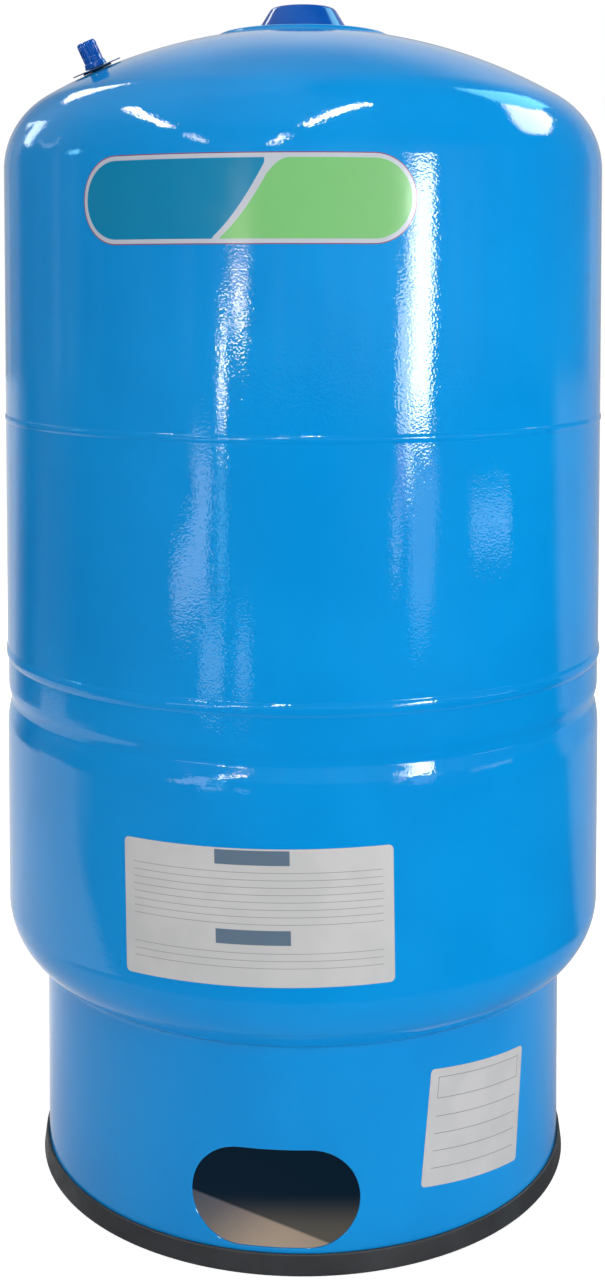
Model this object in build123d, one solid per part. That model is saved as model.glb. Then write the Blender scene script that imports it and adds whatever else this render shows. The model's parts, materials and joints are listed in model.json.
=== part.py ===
from build123d import *
from math import asin, cos, degrees, radians, sin, sqrt
import os

# A diaphragm well tank: a welded sheet steel vessel on a steel skirt, in millimetres.
# The origin is on the floor under the vessel's axis, +Z is up and the labelled front faces -Y.
# An azimuth is measured from the front, positive towards +X.

# Vessel
BODY_R = 200.0
WALL = 1.5
CROWN_R = 339.6
DOME_KNUCKLE_R = 54.7
BOWL_KNUCKLE_R = 46.4
BOWL_H = 178.5
LOWER_WALL_H = 166.0
MIDDLE_WALL_H = 154.7
UPPER_WALL_H = 162.5

# Weld beads round the two seams
UPPER_BEAD = 0.9
UPPER_BEAD_HALF = 2.4
LOWER_BEAD = 1.1
LOWER_BEAD_HALF = 4.0

# Rolled waist that locks the diaphragm in, below the lower seam
NECK_IN = 0.6
WAIST_DROP = 33.0
WAIST_DEPTH = 2.3
WAIST_RISE = 12.0
WAIST_FALL = 18.5
WAIST_TURN = 2.2
WAIST_EASE = 11.3

# Raised pad in the middle of the dome
PAD_R = 58.5
PAD_STEP = 2.4
PAD_BLEND = 1.6

# Stand and its rubber foot
SKIRT_IN = 25.5
SKIRT_WALL = 1.5
SKIRT_WELD = 2.6
OPENING_AZIMUTH = -5.6
OPENING_W = 101.0
OPENING_H = 59.5
OPENING_Z = 44.9
OPENING_CORNER = 29.5
RING_H = 12.5
RING_FLOOR = 3.0
RING_LEG = 1.9
RING_FLARE = 1.5
RING_GRIP = 0.1
RING_EDGE = 0.8

# Diaphragm, its liner and the hoop that clamps both
LINER_T = 2.0
DIAPHRAGM_T = 2.8
DIAPHRAGM_RIM = 3.0
HOOP_T = 2.0
HOOP_DROP = 21.0
FIT_GAP = 0.3
SEAT_GAP = 0.03

# Water connection: a 1 inch pipe neck and a female elbow
PIPE_R = 16.7
PIPE_BORE = 13.3
ELBOW_Z = 44.9
ELBOW_BEND = 22.0
ELBOW_REACH = 62.0
SOCKET_R = 21.5
SOCKET_L = 25.0
SOCKET_ROUND = 2.0
THREAD_R = 14.85
THREAD_L = 20.0
THREAD_CHAMFER = 1.2
COLLAR_R = 24.0
COLLAR_T = 4.0
SEAL_R = 25.0
SEAL_T = 2.5
NUT_R = 27.0
NUT_T = 6.0
DIFFUSER_R = 22.0
DIFFUSER_T = 2.0
DIFFUSER_H = 10.0
DIFFUSER_SLOTS = 8
DIFFUSER_SLOT_W = 6.0

# Boss and push-on cap in the middle of the pad
BOSS_R = 19.0
BOSS_H = 8.5
BOSS_HOLE_R = 5.1
BOSS_HOLE_DEPTH = 6.0
CAP_BASE_R = 30.2
CAP_TOP_R = 21.3
CAP_H = 14.8
CAP_ROUND = 5.0
CAP_WALL = 1.8
CAP_SLEEVE_WALL = 1.4
CAP_RIBS = 6
CAP_RIB_RISE = 2.0
PUSH_GAP = 0.15

# Air valve, clamped through the dome
VALVE_AZIMUTH = -67.7
VALVE_IN = 56.9
STEM_R = 3.85
STEM_BORE = 2.6
STEM_THROAT = 1.4
STEM_H = 15.0
STEM_HEAD_R = 8.0
STEM_HEAD_T = 2.5
HOLE_GAP = 0.3
INNER_SEAL_R = 7.0
INNER_SEAL_T = 1.5
INNER_SEAL_GAP = 0.1
GASKET_R = 9.5
GASKET_T = 1.2
WASHER_R = 16.4
WASHER_T = 0.8
HEX_AF = 10.0
HEX_T = 3.2
CORE_T = 6.0
CORE_SINK = 1.2
PIN_R = 0.5
PIN_L = 11.0
PIN_HEAD_R = 1.1
PIN_HEAD_T = 1.2
PIN_GAP = 0.08
CAP_HEAD_R = 6.3
CAP_HEAD_L = 10.0
CAP_SKIRT_R = 7.4
CAP_SKIRT_TOP_R = 6.8
CAP_ROOM_R = 6.0
CAP_TIP = 1.5
CAP_GRIP_RIBS = 16
CAP_GRIP_DEPTH = 0.3
THREAD_GAP = 0.1
TIP_SEAL_T = 1.0

# Stickers
STICKER_T = 0.2
STICKER_GAP = 0.05
DECAL = {"azimuth": -10.6, "z": 635.6, "w": 206.0, "h": 51.8, "corner": 25.4, "tilt": 0.0}
NOTICE = {"azimuth": -8.1, "z": 223.7, "w": 163.0, "h": 80.5, "corner": 3.0, "tilt": 0.9}
RATING = {"azimuth": 38.1, "z": 75.7, "w": 79.5, "h": 71.5, "corner": 2.5, "tilt": -5.6}

# Radii and heights that follow from the sizes above
SKIRT_R = BODY_R - SKIRT_IN
VALVE_R = BODY_R - VALVE_IN
LOWER_SEAM_Z = BOWL_H + LOWER_WALL_H
UPPER_SEAM_Z = LOWER_SEAM_Z + MIDDLE_WALL_H
DOME_Z = UPPER_SEAM_Z + UPPER_WALL_H
WAIST_Z = LOWER_SEAM_Z - WAIST_DROP
BOWL_REACH = sqrt((CROWN_R - BOWL_KNUCKLE_R) ** 2 - (BODY_R - BOWL_KNUCKLE_R) ** 2)
DOME_REACH = sqrt((CROWN_R - DOME_KNUCKLE_R) ** 2 - (BODY_R - DOME_KNUCKLE_R) ** 2)
BOWL_CENTRE_Z = BOWL_H + BOWL_REACH
DOME_CENTRE_Z = DOME_Z - DOME_REACH
BOWL_BOTTOM_Z = BOWL_CENTRE_Z - CROWN_R
PAD_TOP_Z = DOME_CENTRE_Z + CROWN_R + PAD_STEP

# Insets of the layers inside the lower shell, measured in from the vessel's outside
LINER_INSET = WALL + FIT_GAP
DIAPHRAGM_INSET = LINER_INSET + LINER_T + FIT_GAP
HOOP_INSET = DIAPHRAGM_INSET + DIAPHRAGM_T + FIT_GAP
LINER_TOP_Z = WAIST_Z + WAIST_RISE
DIAPHRAGM_RIM_Z = LINER_TOP_Z + FIT_GAP + DIAPHRAGM_RIM

# Stack on the water neck, from the liner up to the underside of the diaphragm
LINER_FLOOR_Z = BOWL_BOTTOM_Z + LINER_INSET + LINER_T
SEAL_TOP_Z = LINER_FLOOR_Z + SEAL_T
NUT_TOP_Z = SEAL_TOP_Z + NUT_T
DIFFUSER_TOP_Z = NUT_TOP_Z + DIFFUSER_H
DIAPHRAGM_LIFT = DIFFUSER_TOP_Z + FIT_GAP - (BOWL_BOTTOM_Z + DIAPHRAGM_INSET)

# Stack of the air valve, measured out from the dome's skin along its axis
WASHER_Z = GASKET_T
HEX_Z = WASHER_Z + WASHER_T
VALVE_CAP_Z = HEX_Z + FIT_GAP
CAP_ROOM_Z = HEX_Z + HEX_T + FIT_GAP
STEM_TOP = HEX_Z + STEM_H
HEAD_TOP = -WALL - INNER_SEAL_GAP - INNER_SEAL_T
CORE_TOP = STEM_TOP - CORE_SINK
PIN_TOP = STEM_TOP - FIT_GAP
CAP_TOP = STEM_TOP + THREAD_GAP + TIP_SEAL_T + CAP_TIP


def turned(*outline):
    """A solid of revolution about Z from a closed outline drawn as radius and height."""
    return revolve(Plane.XZ * make_face(outline), Axis.Z)


def between(outer, inner):
    """Closes two open runs of edges, both drawn in the same direction, into one outline."""
    first = Line(outer[0] @ 0, inner[0] @ 0)
    last = Line(outer[-1] @ 1, inner[-1] @ 1)
    return [first, *outer, last, *inner]


def ring(inner_r, outer_r, low, high):
    """A plain turned ring between two heights."""
    profile = Polyline((inner_r, low), (outer_r, low), (outer_r, high), (inner_r, high), close=True)
    return turned(profile)


def disc(radius, low, high):
    """A plain turned disc between two heights."""
    return Pos(0, 0, (low + high) / 2) * Cylinder(radius, high - low)


def on_crown(centre_z, rho, lean, side):
    """A point of a crown, by its lean from the axis; side is 1 on the dome and -1 on the bowl."""
    return (rho * sin(lean), centre_z + side * rho * cos(lean))


def front_plane(azimuth, z, distance=0.0):
    """An upright plane that faces out at an azimuth, with its x axis along the wall."""
    a = radians(azimuth)
    outward = (sin(a), -cos(a), 0)
    return Plane(
        origin=(distance * outward[0], distance * outward[1], z),
        x_dir=(cos(a), sin(a), 0),
        z_dir=outward,
    )


def bead_arc(start, crest):
    """Half of a weld bead's section: the arc from the wall to the crest at the seam."""
    rise = abs(crest[0] - start[0])
    run = abs(crest[1] - start[1])
    radius = (rise * rise + run * run) / (2 * rise)
    centre = (crest[0] - radius, crest[1])
    half = degrees(asin(run / radius))
    side = 1 if start[1] > crest[1] else -1
    return CenterArc(centre, radius, side * half, -side * half)


def dome_run(inset, seam_z):
    """The dome's skin from the upper seam to the axis, at an inset from the outside."""
    wall = BODY_R - inset
    lean = asin((BODY_R - DOME_KNUCKLE_R) / (CROWN_R - DOME_KNUCKLE_R))
    foot, middle, brow = (asin(r / CROWN_R) for r in (PAD_R + PAD_BLEND, PAD_R, PAD_R - PAD_BLEND))
    rho = CROWN_R - inset
    raised = rho + PAD_STEP
    knuckle = CenterArc((BODY_R - DOME_KNUCKLE_R, DOME_Z), DOME_KNUCKLE_R - inset, 0, 90 - degrees(lean))
    crown = CenterArc((0, DOME_CENTRE_Z), rho, 90 - degrees(lean), degrees(lean - foot))
    step = Bezier(
        on_crown(DOME_CENTRE_Z, rho, foot, 1),
        on_crown(DOME_CENTRE_Z, rho, middle, 1),
        on_crown(DOME_CENTRE_Z, raised, middle, 1),
        on_crown(DOME_CENTRE_Z, raised, brow, 1),
    )
    pad = CenterArc((0, DOME_CENTRE_Z), raised, 90 - degrees(brow), degrees(brow))
    return [Line((wall, seam_z), (wall, DOME_Z)), knuckle, crown, step, pad]


def lower_run(inset, top_z, hole_r, lift=0.0):
    """The lower shell's skin from a height down through the waist and the bowl to a hole."""
    wall = BODY_R - inset
    turn_z = BOWL_H + lift
    lean = asin((BODY_R - BOWL_KNUCKLE_R) / (CROWN_R - BOWL_KNUCKLE_R))
    rho = CROWN_R - inset
    hole = asin(hole_r / rho)
    waist_top = (wall - NECK_IN, WAIST_Z + WAIST_RISE)
    waist_root = (wall - WAIST_DEPTH, WAIST_Z)
    waist_foot = (wall, WAIST_Z - WAIST_FALL)
    upper_mid = WAIST_Z + WAIST_RISE / 2
    waist_turn = (wall - WAIST_DEPTH, WAIST_Z - WAIST_TURN)
    waist_ease = (wall, WAIST_Z - WAIST_FALL + WAIST_EASE)
    into = Bezier(waist_top, (waist_top[0], upper_mid), (waist_root[0], upper_mid), waist_root)
    out = Bezier(waist_root, waist_turn, waist_ease, waist_foot)
    run = [into, out]
    if top_z > waist_top[1]:
        run.insert(0, Line((waist_top[0], top_z), waist_top))
    knuckle_centre = (BODY_R - BOWL_KNUCKLE_R, turn_z)
    knuckle = CenterArc(knuckle_centre, BOWL_KNUCKLE_R - inset, 0, degrees(lean) - 90)
    crown = CenterArc((0, BOWL_CENTRE_Z + lift), rho, degrees(lean) - 90, degrees(hole - lean))
    return [*run, Line(waist_foot, (wall, turn_z)), knuckle, crown]


def bowl_contact(outer_r, inner_r):
    """An arc that follows the bowl from below at the seat gap, inwards between two radii."""
    rho = CROWN_R + SEAT_GAP
    far, near = (degrees(asin(r / rho)) for r in (outer_r, inner_r))
    return CenterArc((0, BOWL_CENTRE_Z), rho, far - 90, near - far)


def upper_shell():
    """Drawn dome with its raised pad and long wall, welded on at the upper seam."""
    bead = bead_arc((BODY_R, UPPER_SEAM_Z + UPPER_BEAD_HALF), (BODY_R + UPPER_BEAD, UPPER_SEAM_Z))
    outer = dome_run(0, UPPER_SEAM_Z + UPPER_BEAD_HALF)
    inner = dome_run(WALL, UPPER_SEAM_Z)
    profile = [bead, Line(bead @ 1, inner[0] @ 0), *outer, Line(outer[-1] @ 1, inner[-1] @ 1), *inner]
    hole = valve_plane() * disc(STEM_R + HOLE_GAP, -2 * WALL, WALL)
    return turned(*profile) - hole


def middle_shell():
    """Rolled cylinder between the two seams, with half of each weld bead."""
    top = bead_arc((BODY_R, UPPER_SEAM_Z - UPPER_BEAD_HALF), (BODY_R + UPPER_BEAD, UPPER_SEAM_Z))
    low = bead_arc((BODY_R, LOWER_SEAM_Z + LOWER_BEAD_HALF), (BODY_R + LOWER_BEAD, LOWER_SEAM_Z))
    bore = BODY_R - WALL
    return turned(
        top,
        Line(top @ 0, low @ 0),
        low,
        Line(low @ 1, (bore, LOWER_SEAM_Z)),
        Line((bore, LOWER_SEAM_Z), (bore, UPPER_SEAM_Z)),
        Line((bore, UPPER_SEAM_Z), top @ 1),
    )


def lower_shell():
    """Drawn lower head with the rolled waist that locks the diaphragm's hoop."""
    hole_r = PIPE_R + HOLE_GAP
    crest = (BODY_R + LOWER_BEAD, LOWER_SEAM_Z)
    foot = (BODY_R - NECK_IN, LOWER_SEAM_Z - LOWER_BEAD_HALF - NECK_IN)
    bead = bead_arc(foot, crest)
    outer = lower_run(0, foot[1], hole_r)
    inner = lower_run(WALL, LOWER_SEAM_Z, hole_r)
    return turned(bead, Line(bead @ 1, inner[0] @ 0), *outer, Line(outer[-1] @ 1, inner[-1] @ 1), *inner)


def base_skirt():
    """Rolled steel stand welded under the bowl, with its pipe opening at the front."""
    bore = SKIRT_R - SKIRT_WALL
    contact = bowl_contact(SKIRT_R + SKIRT_WELD, bore)
    weld_foot = (SKIRT_R, (contact @ 1).Y - SKIRT_WELD)
    weld = RadiusArc(contact @ 0, weld_foot, 2 * SKIRT_WELD)
    shell = turned(
        contact,
        weld,
        Polyline(weld_foot, (SKIRT_R, RING_FLOOR), (bore, RING_FLOOR), contact @ 1),
    )
    window = RectangleRounded(OPENING_W, OPENING_H, OPENING_CORNER)
    cutter = extrude(front_plane(OPENING_AZIMUTH, OPENING_Z, SKIRT_R / 2) * window, SKIRT_R)
    return shell - cutter


def base_ring():
    """Rubber edge strip with a U section, pushed on the skirt's lower edge."""
    slot_in = SKIRT_R - SKIRT_WALL - RING_GRIP
    slot_out = SKIRT_R + RING_GRIP
    section = make_face(
        Polyline(
            (slot_in, RING_FLOOR),
            (slot_out, RING_FLOOR),
            (slot_out, RING_H),
            (slot_out + RING_LEG, RING_H),
            (slot_out + RING_LEG + RING_FLARE, 0),
            (slot_in - RING_LEG, 0),
            (slot_in - RING_LEG, RING_H),
            (slot_in, RING_H),
            close=True,
        )
    )
    outside = [v for v in section.vertices() if not slot_in - RING_EDGE < v.X < slot_out + RING_EDGE]
    return revolve(Plane.XZ * fillet(outside, RING_EDGE), Axis.Z)


def liner():
    """Moulded liner that keeps the water off the steel of the lower shell."""
    hole_r = PIPE_R + HOLE_GAP
    outer = lower_run(LINER_INSET, LINER_TOP_Z, hole_r)
    inner = lower_run(LINER_INSET + LINER_T, LINER_TOP_Z, hole_r)
    return turned(*between(outer, inner))


def diaphragm():
    """Rubber diaphragm, lying down on the diffuser as the air charge presses it when empty."""
    outer = lower_run(DIAPHRAGM_INSET, LINER_TOP_Z, 0, DIAPHRAGM_LIFT)
    inner = lower_run(DIAPHRAGM_INSET + DIAPHRAGM_T, LINER_TOP_Z, 0, DIAPHRAGM_LIFT)
    sheet = turned(*between(outer, inner))
    rim_r = ((outer[0] @ 0).X + (inner[0] @ 0).X) / 2
    web = ring((inner[0] @ 0).X, (outer[0] @ 0).X, LINER_TOP_Z, DIAPHRAGM_RIM_Z)
    rim = Pos(0, 0, DIAPHRAGM_RIM_Z) * Torus(rim_r, DIAPHRAGM_RIM)
    return sheet + web + rim


def hoop_ring():
    """Steel hoop that the rolled waist clamps the diaphragm and the liner against."""
    outer = lower_run(HOOP_INSET, LINER_TOP_Z, 0)[:2]
    inner = lower_run(HOOP_INSET + HOOP_T, LINER_TOP_Z, 0)[:2]
    foot_z = WAIST_Z - HOOP_DROP
    outer.append(Line(outer[-1] @ 1, ((outer[-1] @ 1).X, foot_z)))
    inner.append(Line(inner[-1] @ 1, ((inner[-1] @ 1).X, foot_z)))
    return turned(*between(outer, inner))


def elbow_solid(radius, top_z, reach):
    """A round bar of a radius that follows the elbow's centreline."""
    upright = disc(radius, ELBOW_Z + ELBOW_BEND, top_z)
    quarter = Plane(origin=(0, 0, ELBOW_Z + ELBOW_BEND)) * Circle(radius)
    axis = Axis((0, -ELBOW_BEND, ELBOW_Z + ELBOW_BEND), (-1, 0, 0))
    bend = revolve(quarter, axis, 90)
    mouth = front_plane(0, ELBOW_Z, ELBOW_BEND) * Circle(radius)
    return upright + bend + extrude(mouth, reach - ELBOW_BEND)


def water_elbow():
    """Stainless neck and female elbow, welded in the middle of the bowl."""
    neck_top = NUT_TOP_Z
    body = elbow_solid(PIPE_R, neck_top, ELBOW_REACH)
    socket = extrude(front_plane(0, ELBOW_Z, ELBOW_REACH - SOCKET_L) * Circle(SOCKET_R), SOCKET_L)
    socket = fillet(socket.edges().filter_by(GeomType.CIRCLE), SOCKET_ROUND)
    seat = bowl_contact(COLLAR_R, 0)
    collar_z = BOWL_BOTTOM_Z - COLLAR_T
    collar = turned(seat, Polyline(seat @ 1, (0, collar_z), (COLLAR_R, collar_z), seat @ 0))
    bore = elbow_solid(PIPE_BORE, neck_top, ELBOW_REACH)
    thread = extrude(front_plane(0, ELBOW_Z, ELBOW_REACH - THREAD_L) * Circle(THREAD_R), THREAD_L)
    lead_plane = front_plane(0, ELBOW_Z, ELBOW_REACH - THREAD_CHAMFER)
    lead = loft([
        lead_plane * Circle(THREAD_R),
        lead_plane.offset(THREAD_CHAMFER) * Circle(THREAD_R + THREAD_CHAMFER),
    ])
    elbow = body + socket + collar - bore - thread - lead
    return Rot(0, 0, OPENING_AZIMUTH) * elbow


def inlet_seal():
    """Rubber ring between the liner and the nut on the neck."""
    rho = CROWN_R - LINER_INSET - LINER_T - SEAT_GAP
    near, far = (asin(r / rho) for r in (PIPE_R + RING_GRIP, SEAL_R))
    dish = CenterArc((0, BOWL_CENTRE_Z), rho, degrees(near) - 90, degrees(far - near))
    top = Polyline(dish @ 1, (SEAL_R, SEAL_TOP_Z), (PIPE_R + RING_GRIP, SEAL_TOP_Z), dish @ 0)
    return turned(dish, top)


def inlet_nut():
    """Hexagonal nut that holds the liner down on the neck."""
    prism = extrude(Pos(0, 0, SEAL_TOP_Z) * RegularPolygon(NUT_R, 6), NUT_T)
    return prism - disc(PIPE_R + RING_GRIP, SEAL_TOP_Z - 1, NUT_TOP_Z + 1)


def flow_diffuser():
    """Slotted cap on the neck that spreads the water under the diaphragm."""
    cup = disc(DIFFUSER_R, NUT_TOP_Z, DIFFUSER_TOP_Z)
    cup -= disc(DIFFUSER_R - DIFFUSER_T, NUT_TOP_Z, DIFFUSER_TOP_Z - DIFFUSER_T)
    height = DIFFUSER_H - 2 * DIFFUSER_T
    slot = Pos(DIFFUSER_R, 0, NUT_TOP_Z + DIFFUSER_T + height / 2) * Box(
        4 * DIFFUSER_T, DIFFUSER_SLOT_W, height
    )
    for i in range(DIFFUSER_SLOTS):
        cup -= Rot(0, 0, 360 * i / DIFFUSER_SLOTS) * slot
    return cup


def crown_boss():
    """Turned steel boss welded on the pad, under the push-on cap."""
    rho = CROWN_R + PAD_STEP + SEAT_GAP
    dish = CenterArc((0, DOME_CENTRE_Z), rho, 90, -degrees(asin(BOSS_R / rho)))
    top_z = PAD_TOP_Z + BOSS_H
    boss = turned(dish, Polyline(dish @ 1, (BOSS_R, top_z), (0, top_z), dish @ 0))
    boss = chamfer(boss.edges().group_by(Axis.Z)[-1], RING_EDGE)
    return boss - disc(BOSS_HOLE_R, top_z - BOSS_HOLE_DEPTH, top_z + 1)


def top_cap():
    """Moulded plastic cap with a cone side and a round brow, pushed over the boss."""
    rim_z = cap_rim_z()
    top_z = rim_z + CAP_H
    outside = make_face(Polyline((0, rim_z), (CAP_BASE_R, rim_z), (CAP_TOP_R, top_z), (0, top_z), close=True))
    brow = [v for v in outside.vertices() if v.Y > rim_z + 1 and v.X > 1]
    inner_base = CAP_BASE_R - CAP_WALL
    inner_top = CAP_TOP_R - CAP_WALL
    ceiling = top_z - CAP_WALL
    inside = make_face(
        Polyline((0, rim_z), (inner_base, rim_z), (inner_top, ceiling), (0, ceiling), close=True)
    )
    inner_brow = [v for v in inside.vertices() if v.Y > rim_z + 1 and v.X > 1]
    skin = revolve(Plane.XZ * fillet(brow, CAP_ROUND), Axis.Z)
    hollow = revolve(Plane.XZ * fillet(inner_brow, CAP_ROUND - CAP_WALL), Axis.Z)
    sleeve_in = BOSS_R + PUSH_GAP
    sleeve_out = sleeve_in + CAP_SLEEVE_WALL
    sleeve_low = PAD_TOP_Z + FIT_GAP
    sleeve = ring(sleeve_in, sleeve_out, sleeve_low, ceiling)
    reach = inner_base - sleeve_in
    rib = Pos(sleeve_in + reach / 2, 0, (rim_z + CAP_RIB_RISE + ceiling) / 2) * Box(
        reach, CAP_SLEEVE_WALL, ceiling - rim_z - CAP_RIB_RISE
    )
    ribs = [Rot(0, 0, 360 * i / CAP_RIBS) * (rib - ring(0.1, sleeve_in, 0, 2 * top_z)) for i in range(CAP_RIBS)]
    inner_parts = sleeve
    for one in ribs:
        inner_parts += one
    return (skin - hollow) + (inner_parts & skin)


def cap_rim_z():
    """Height of the cap's rim, just clear of the sloping pad under it."""
    rho = CROWN_R + PAD_STEP
    return DOME_CENTRE_Z + sqrt(rho**2 - (CAP_BASE_R - CAP_WALL) ** 2) + FIT_GAP


def valve_plane():
    """The plane on the dome's skin where the air valve stands, square to the skin."""
    lean = asin(VALVE_R / CROWN_R)
    a = radians(VALVE_AZIMUTH)
    out = (sin(a), -cos(a))
    origin = (VALVE_R * out[0], VALVE_R * out[1], DOME_CENTRE_Z + CROWN_R * cos(lean))
    normal = (sin(lean) * out[0], sin(lean) * out[1], cos(lean))
    return Plane(origin=origin, x_dir=(cos(a), sin(a), 0), z_dir=normal)


def valve_stem():
    """Brass stem with its head inside the dome."""
    head = disc(STEM_HEAD_R, HEAD_TOP - STEM_HEAD_T, HEAD_TOP)
    stem = head + disc(STEM_R, HEAD_TOP, STEM_TOP)
    core_floor = CORE_TOP - CORE_T
    stem -= disc(STEM_THROAT, HEAD_TOP - STEM_HEAD_T, core_floor)
    stem -= disc(STEM_BORE, core_floor, STEM_TOP)
    return valve_plane() * stem


def valve_inner_seal():
    """Rubber ring between the stem's head and the inside of the dome."""
    return valve_plane() * ring(STEM_R + RING_GRIP, INNER_SEAL_R, HEAD_TOP, HEAD_TOP + INNER_SEAL_T)


def valve_gasket():
    """Rubber gasket under the washer."""
    return valve_plane() * ring(STEM_R + RING_GRIP, GASKET_R, SEAT_GAP, GASKET_T)


def valve_washer():
    """Thin flat washer that spreads the nut's load on the dome."""
    return valve_plane() * ring(STEM_R + RING_GRIP, WASHER_R, WASHER_Z, HEX_Z)


def valve_nut():
    """Hexagonal nut that clamps the stem in the dome."""
    prism = extrude(Pos(0, 0, HEX_Z) * RegularPolygon(HEX_AF / 2, 6, major_radius=False), HEX_T)
    return valve_plane() * (prism - disc(STEM_R + RING_GRIP, HEX_Z - 1, HEX_Z + HEX_T + 1))


def valve_core():
    """Brass core screwed in the stem, with the hole that guides the pin."""
    floor = CORE_TOP - CORE_T
    return valve_plane() * ring(PIN_R + PIN_GAP, STEM_BORE - PIN_GAP, floor, CORE_TOP)


def valve_pin():
    """Pin of the valve core, pressed in to check or let out the air."""
    shaft = disc(PIN_R, PIN_TOP - PIN_L, PIN_TOP)
    plug_z = CORE_TOP - CORE_T - FIT_GAP
    plug = disc(PIN_HEAD_R, plug_z - PIN_HEAD_T, plug_z)
    return valve_plane() * (shaft + plug)


def valve_cap():
    """Moulded screw cap with a ribbed head, and a skirt that hides the nut."""
    head_z = CAP_TOP - CAP_HEAD_L
    brow_z = CAP_ROOM_Z + CAP_SKIRT_TOP_R - CAP_HEAD_R
    skirt = turned(
        Polyline(
            (0, VALVE_CAP_Z),
            (CAP_SKIRT_R, VALVE_CAP_Z),
            (CAP_SKIRT_TOP_R, CAP_ROOM_Z),
            (CAP_HEAD_R, brow_z),
            (CAP_HEAD_R, head_z),
            (0, head_z),
            close=True,
        )
    )
    head = disc(CAP_HEAD_R, head_z, CAP_TOP)
    head = chamfer(head.edges().group_by(Axis.Z)[-1], RING_EDGE)
    groove = Pos(CAP_HEAD_R, 0, head_z + CAP_HEAD_L / 2) * Cylinder(CAP_GRIP_DEPTH, 2 * CAP_HEAD_L)
    for i in range(CAP_GRIP_RIBS):
        head -= Rot(0, 0, 360 * i / CAP_GRIP_RIBS) * groove
    bore_top = STEM_TOP + THREAD_GAP + TIP_SEAL_T
    cap = skirt + head - disc(CAP_ROOM_R, VALVE_CAP_Z, CAP_ROOM_Z)
    return valve_plane() * (cap - disc(STEM_R + THREAD_GAP, VALVE_CAP_Z, bore_top))


def valve_cap_seal():
    """Rubber disc in the cap, just over the stem's mouth."""
    low = STEM_TOP + THREAD_GAP
    return valve_plane() * ring(PIN_HEAD_R, STEM_R - THREAD_GAP, low, low + TIP_SEAL_T)


def sticker(wall_r, azimuth, z, w, h, corner, tilt):
    """A thin label that follows a round wall, cut to a rounded rectangle."""
    low, high = z - h, z + h
    skin = ring(wall_r + STICKER_GAP, wall_r + STICKER_GAP + STICKER_T, low, high)
    chord = 2 * wall_r * sin(w / wall_r / 2)
    outline = Rot(0, 0, tilt) * RectangleRounded(chord, h, corner)
    return skin & extrude(front_plane(azimuth, z, wall_r / 3) * outline, wall_r)


def front_decal():
    """Pill shaped vinyl decal high on the front."""
    return sticker(BODY_R, **DECAL)


def notice_label():
    """Large white paper label low on the body."""
    return sticker(BODY_R, **NOTICE)


def rating_label():
    """Small white paper label on the stand."""
    return sticker(SKIRT_R, **RATING)


PIECES = [
    upper_shell,
    middle_shell,
    lower_shell,
    base_skirt,
    base_ring,
    liner,
    diaphragm,
    hoop_ring,
    water_elbow,
    inlet_seal,
    inlet_nut,
    flow_diffuser,
    crown_boss,
    top_cap,
    valve_stem,
    valve_inner_seal,
    valve_gasket,
    valve_washer,
    valve_nut,
    valve_core,
    valve_pin,
    valve_cap,
    valve_cap_seal,
    front_decal,
    notice_label,
    rating_label,
]

os.makedirs("parts", exist_ok=True)
for piece in PIECES:
    export_step(piece(), f"parts/{piece.__name__}.step")
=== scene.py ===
"""A well pressure tank in blue baked enamel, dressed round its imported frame.

Sizes are in millimetres unless a name says otherwise. The tank stands on the floor with its axis on Z,
and its labelled front faces -Y. An azimuth is counted from the front, positive towards +X.
"""

from __future__ import annotations

import json
import logging
from dataclasses import dataclass, field, replace
from enum import Enum
from math import asin, atan2, cos, degrees, hypot, pi, radians, sin, sqrt, tan
from typing import Any, Callable, Sequence

import bmesh
import bpy
from mathutils import Matrix, Vector

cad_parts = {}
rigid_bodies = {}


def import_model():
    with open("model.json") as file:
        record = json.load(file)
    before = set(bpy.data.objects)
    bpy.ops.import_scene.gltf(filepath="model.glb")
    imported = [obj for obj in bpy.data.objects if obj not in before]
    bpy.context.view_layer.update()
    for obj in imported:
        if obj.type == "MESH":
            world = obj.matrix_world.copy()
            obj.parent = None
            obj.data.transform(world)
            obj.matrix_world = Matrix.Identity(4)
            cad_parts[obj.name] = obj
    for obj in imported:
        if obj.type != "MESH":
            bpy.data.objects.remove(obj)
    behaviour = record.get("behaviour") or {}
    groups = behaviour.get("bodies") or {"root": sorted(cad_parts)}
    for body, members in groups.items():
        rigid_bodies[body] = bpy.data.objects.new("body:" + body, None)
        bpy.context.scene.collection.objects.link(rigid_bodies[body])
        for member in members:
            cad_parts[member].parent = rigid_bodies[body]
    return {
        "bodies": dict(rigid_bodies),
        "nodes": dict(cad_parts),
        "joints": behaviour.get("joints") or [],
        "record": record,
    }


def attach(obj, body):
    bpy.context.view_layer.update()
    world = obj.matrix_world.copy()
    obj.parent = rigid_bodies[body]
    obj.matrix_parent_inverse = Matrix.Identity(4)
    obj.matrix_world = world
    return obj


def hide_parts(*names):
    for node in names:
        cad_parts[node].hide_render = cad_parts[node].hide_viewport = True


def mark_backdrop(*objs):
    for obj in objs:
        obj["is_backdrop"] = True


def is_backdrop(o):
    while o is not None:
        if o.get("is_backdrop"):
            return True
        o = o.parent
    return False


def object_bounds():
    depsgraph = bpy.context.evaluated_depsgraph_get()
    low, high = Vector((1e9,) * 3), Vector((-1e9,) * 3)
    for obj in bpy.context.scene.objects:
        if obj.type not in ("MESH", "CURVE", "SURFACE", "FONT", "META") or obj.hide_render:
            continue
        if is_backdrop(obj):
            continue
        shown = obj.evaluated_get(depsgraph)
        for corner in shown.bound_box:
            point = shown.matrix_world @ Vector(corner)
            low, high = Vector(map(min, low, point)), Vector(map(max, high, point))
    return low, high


log = logging.getLogger("tank")

# One millimetre in metres, and the distance within which points are merged
MM = 0.001
MERGE = 0.002 * MM
# Width of the columns that a label is cut in, so that it bends round its wall
COLUMN = 2.5

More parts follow.
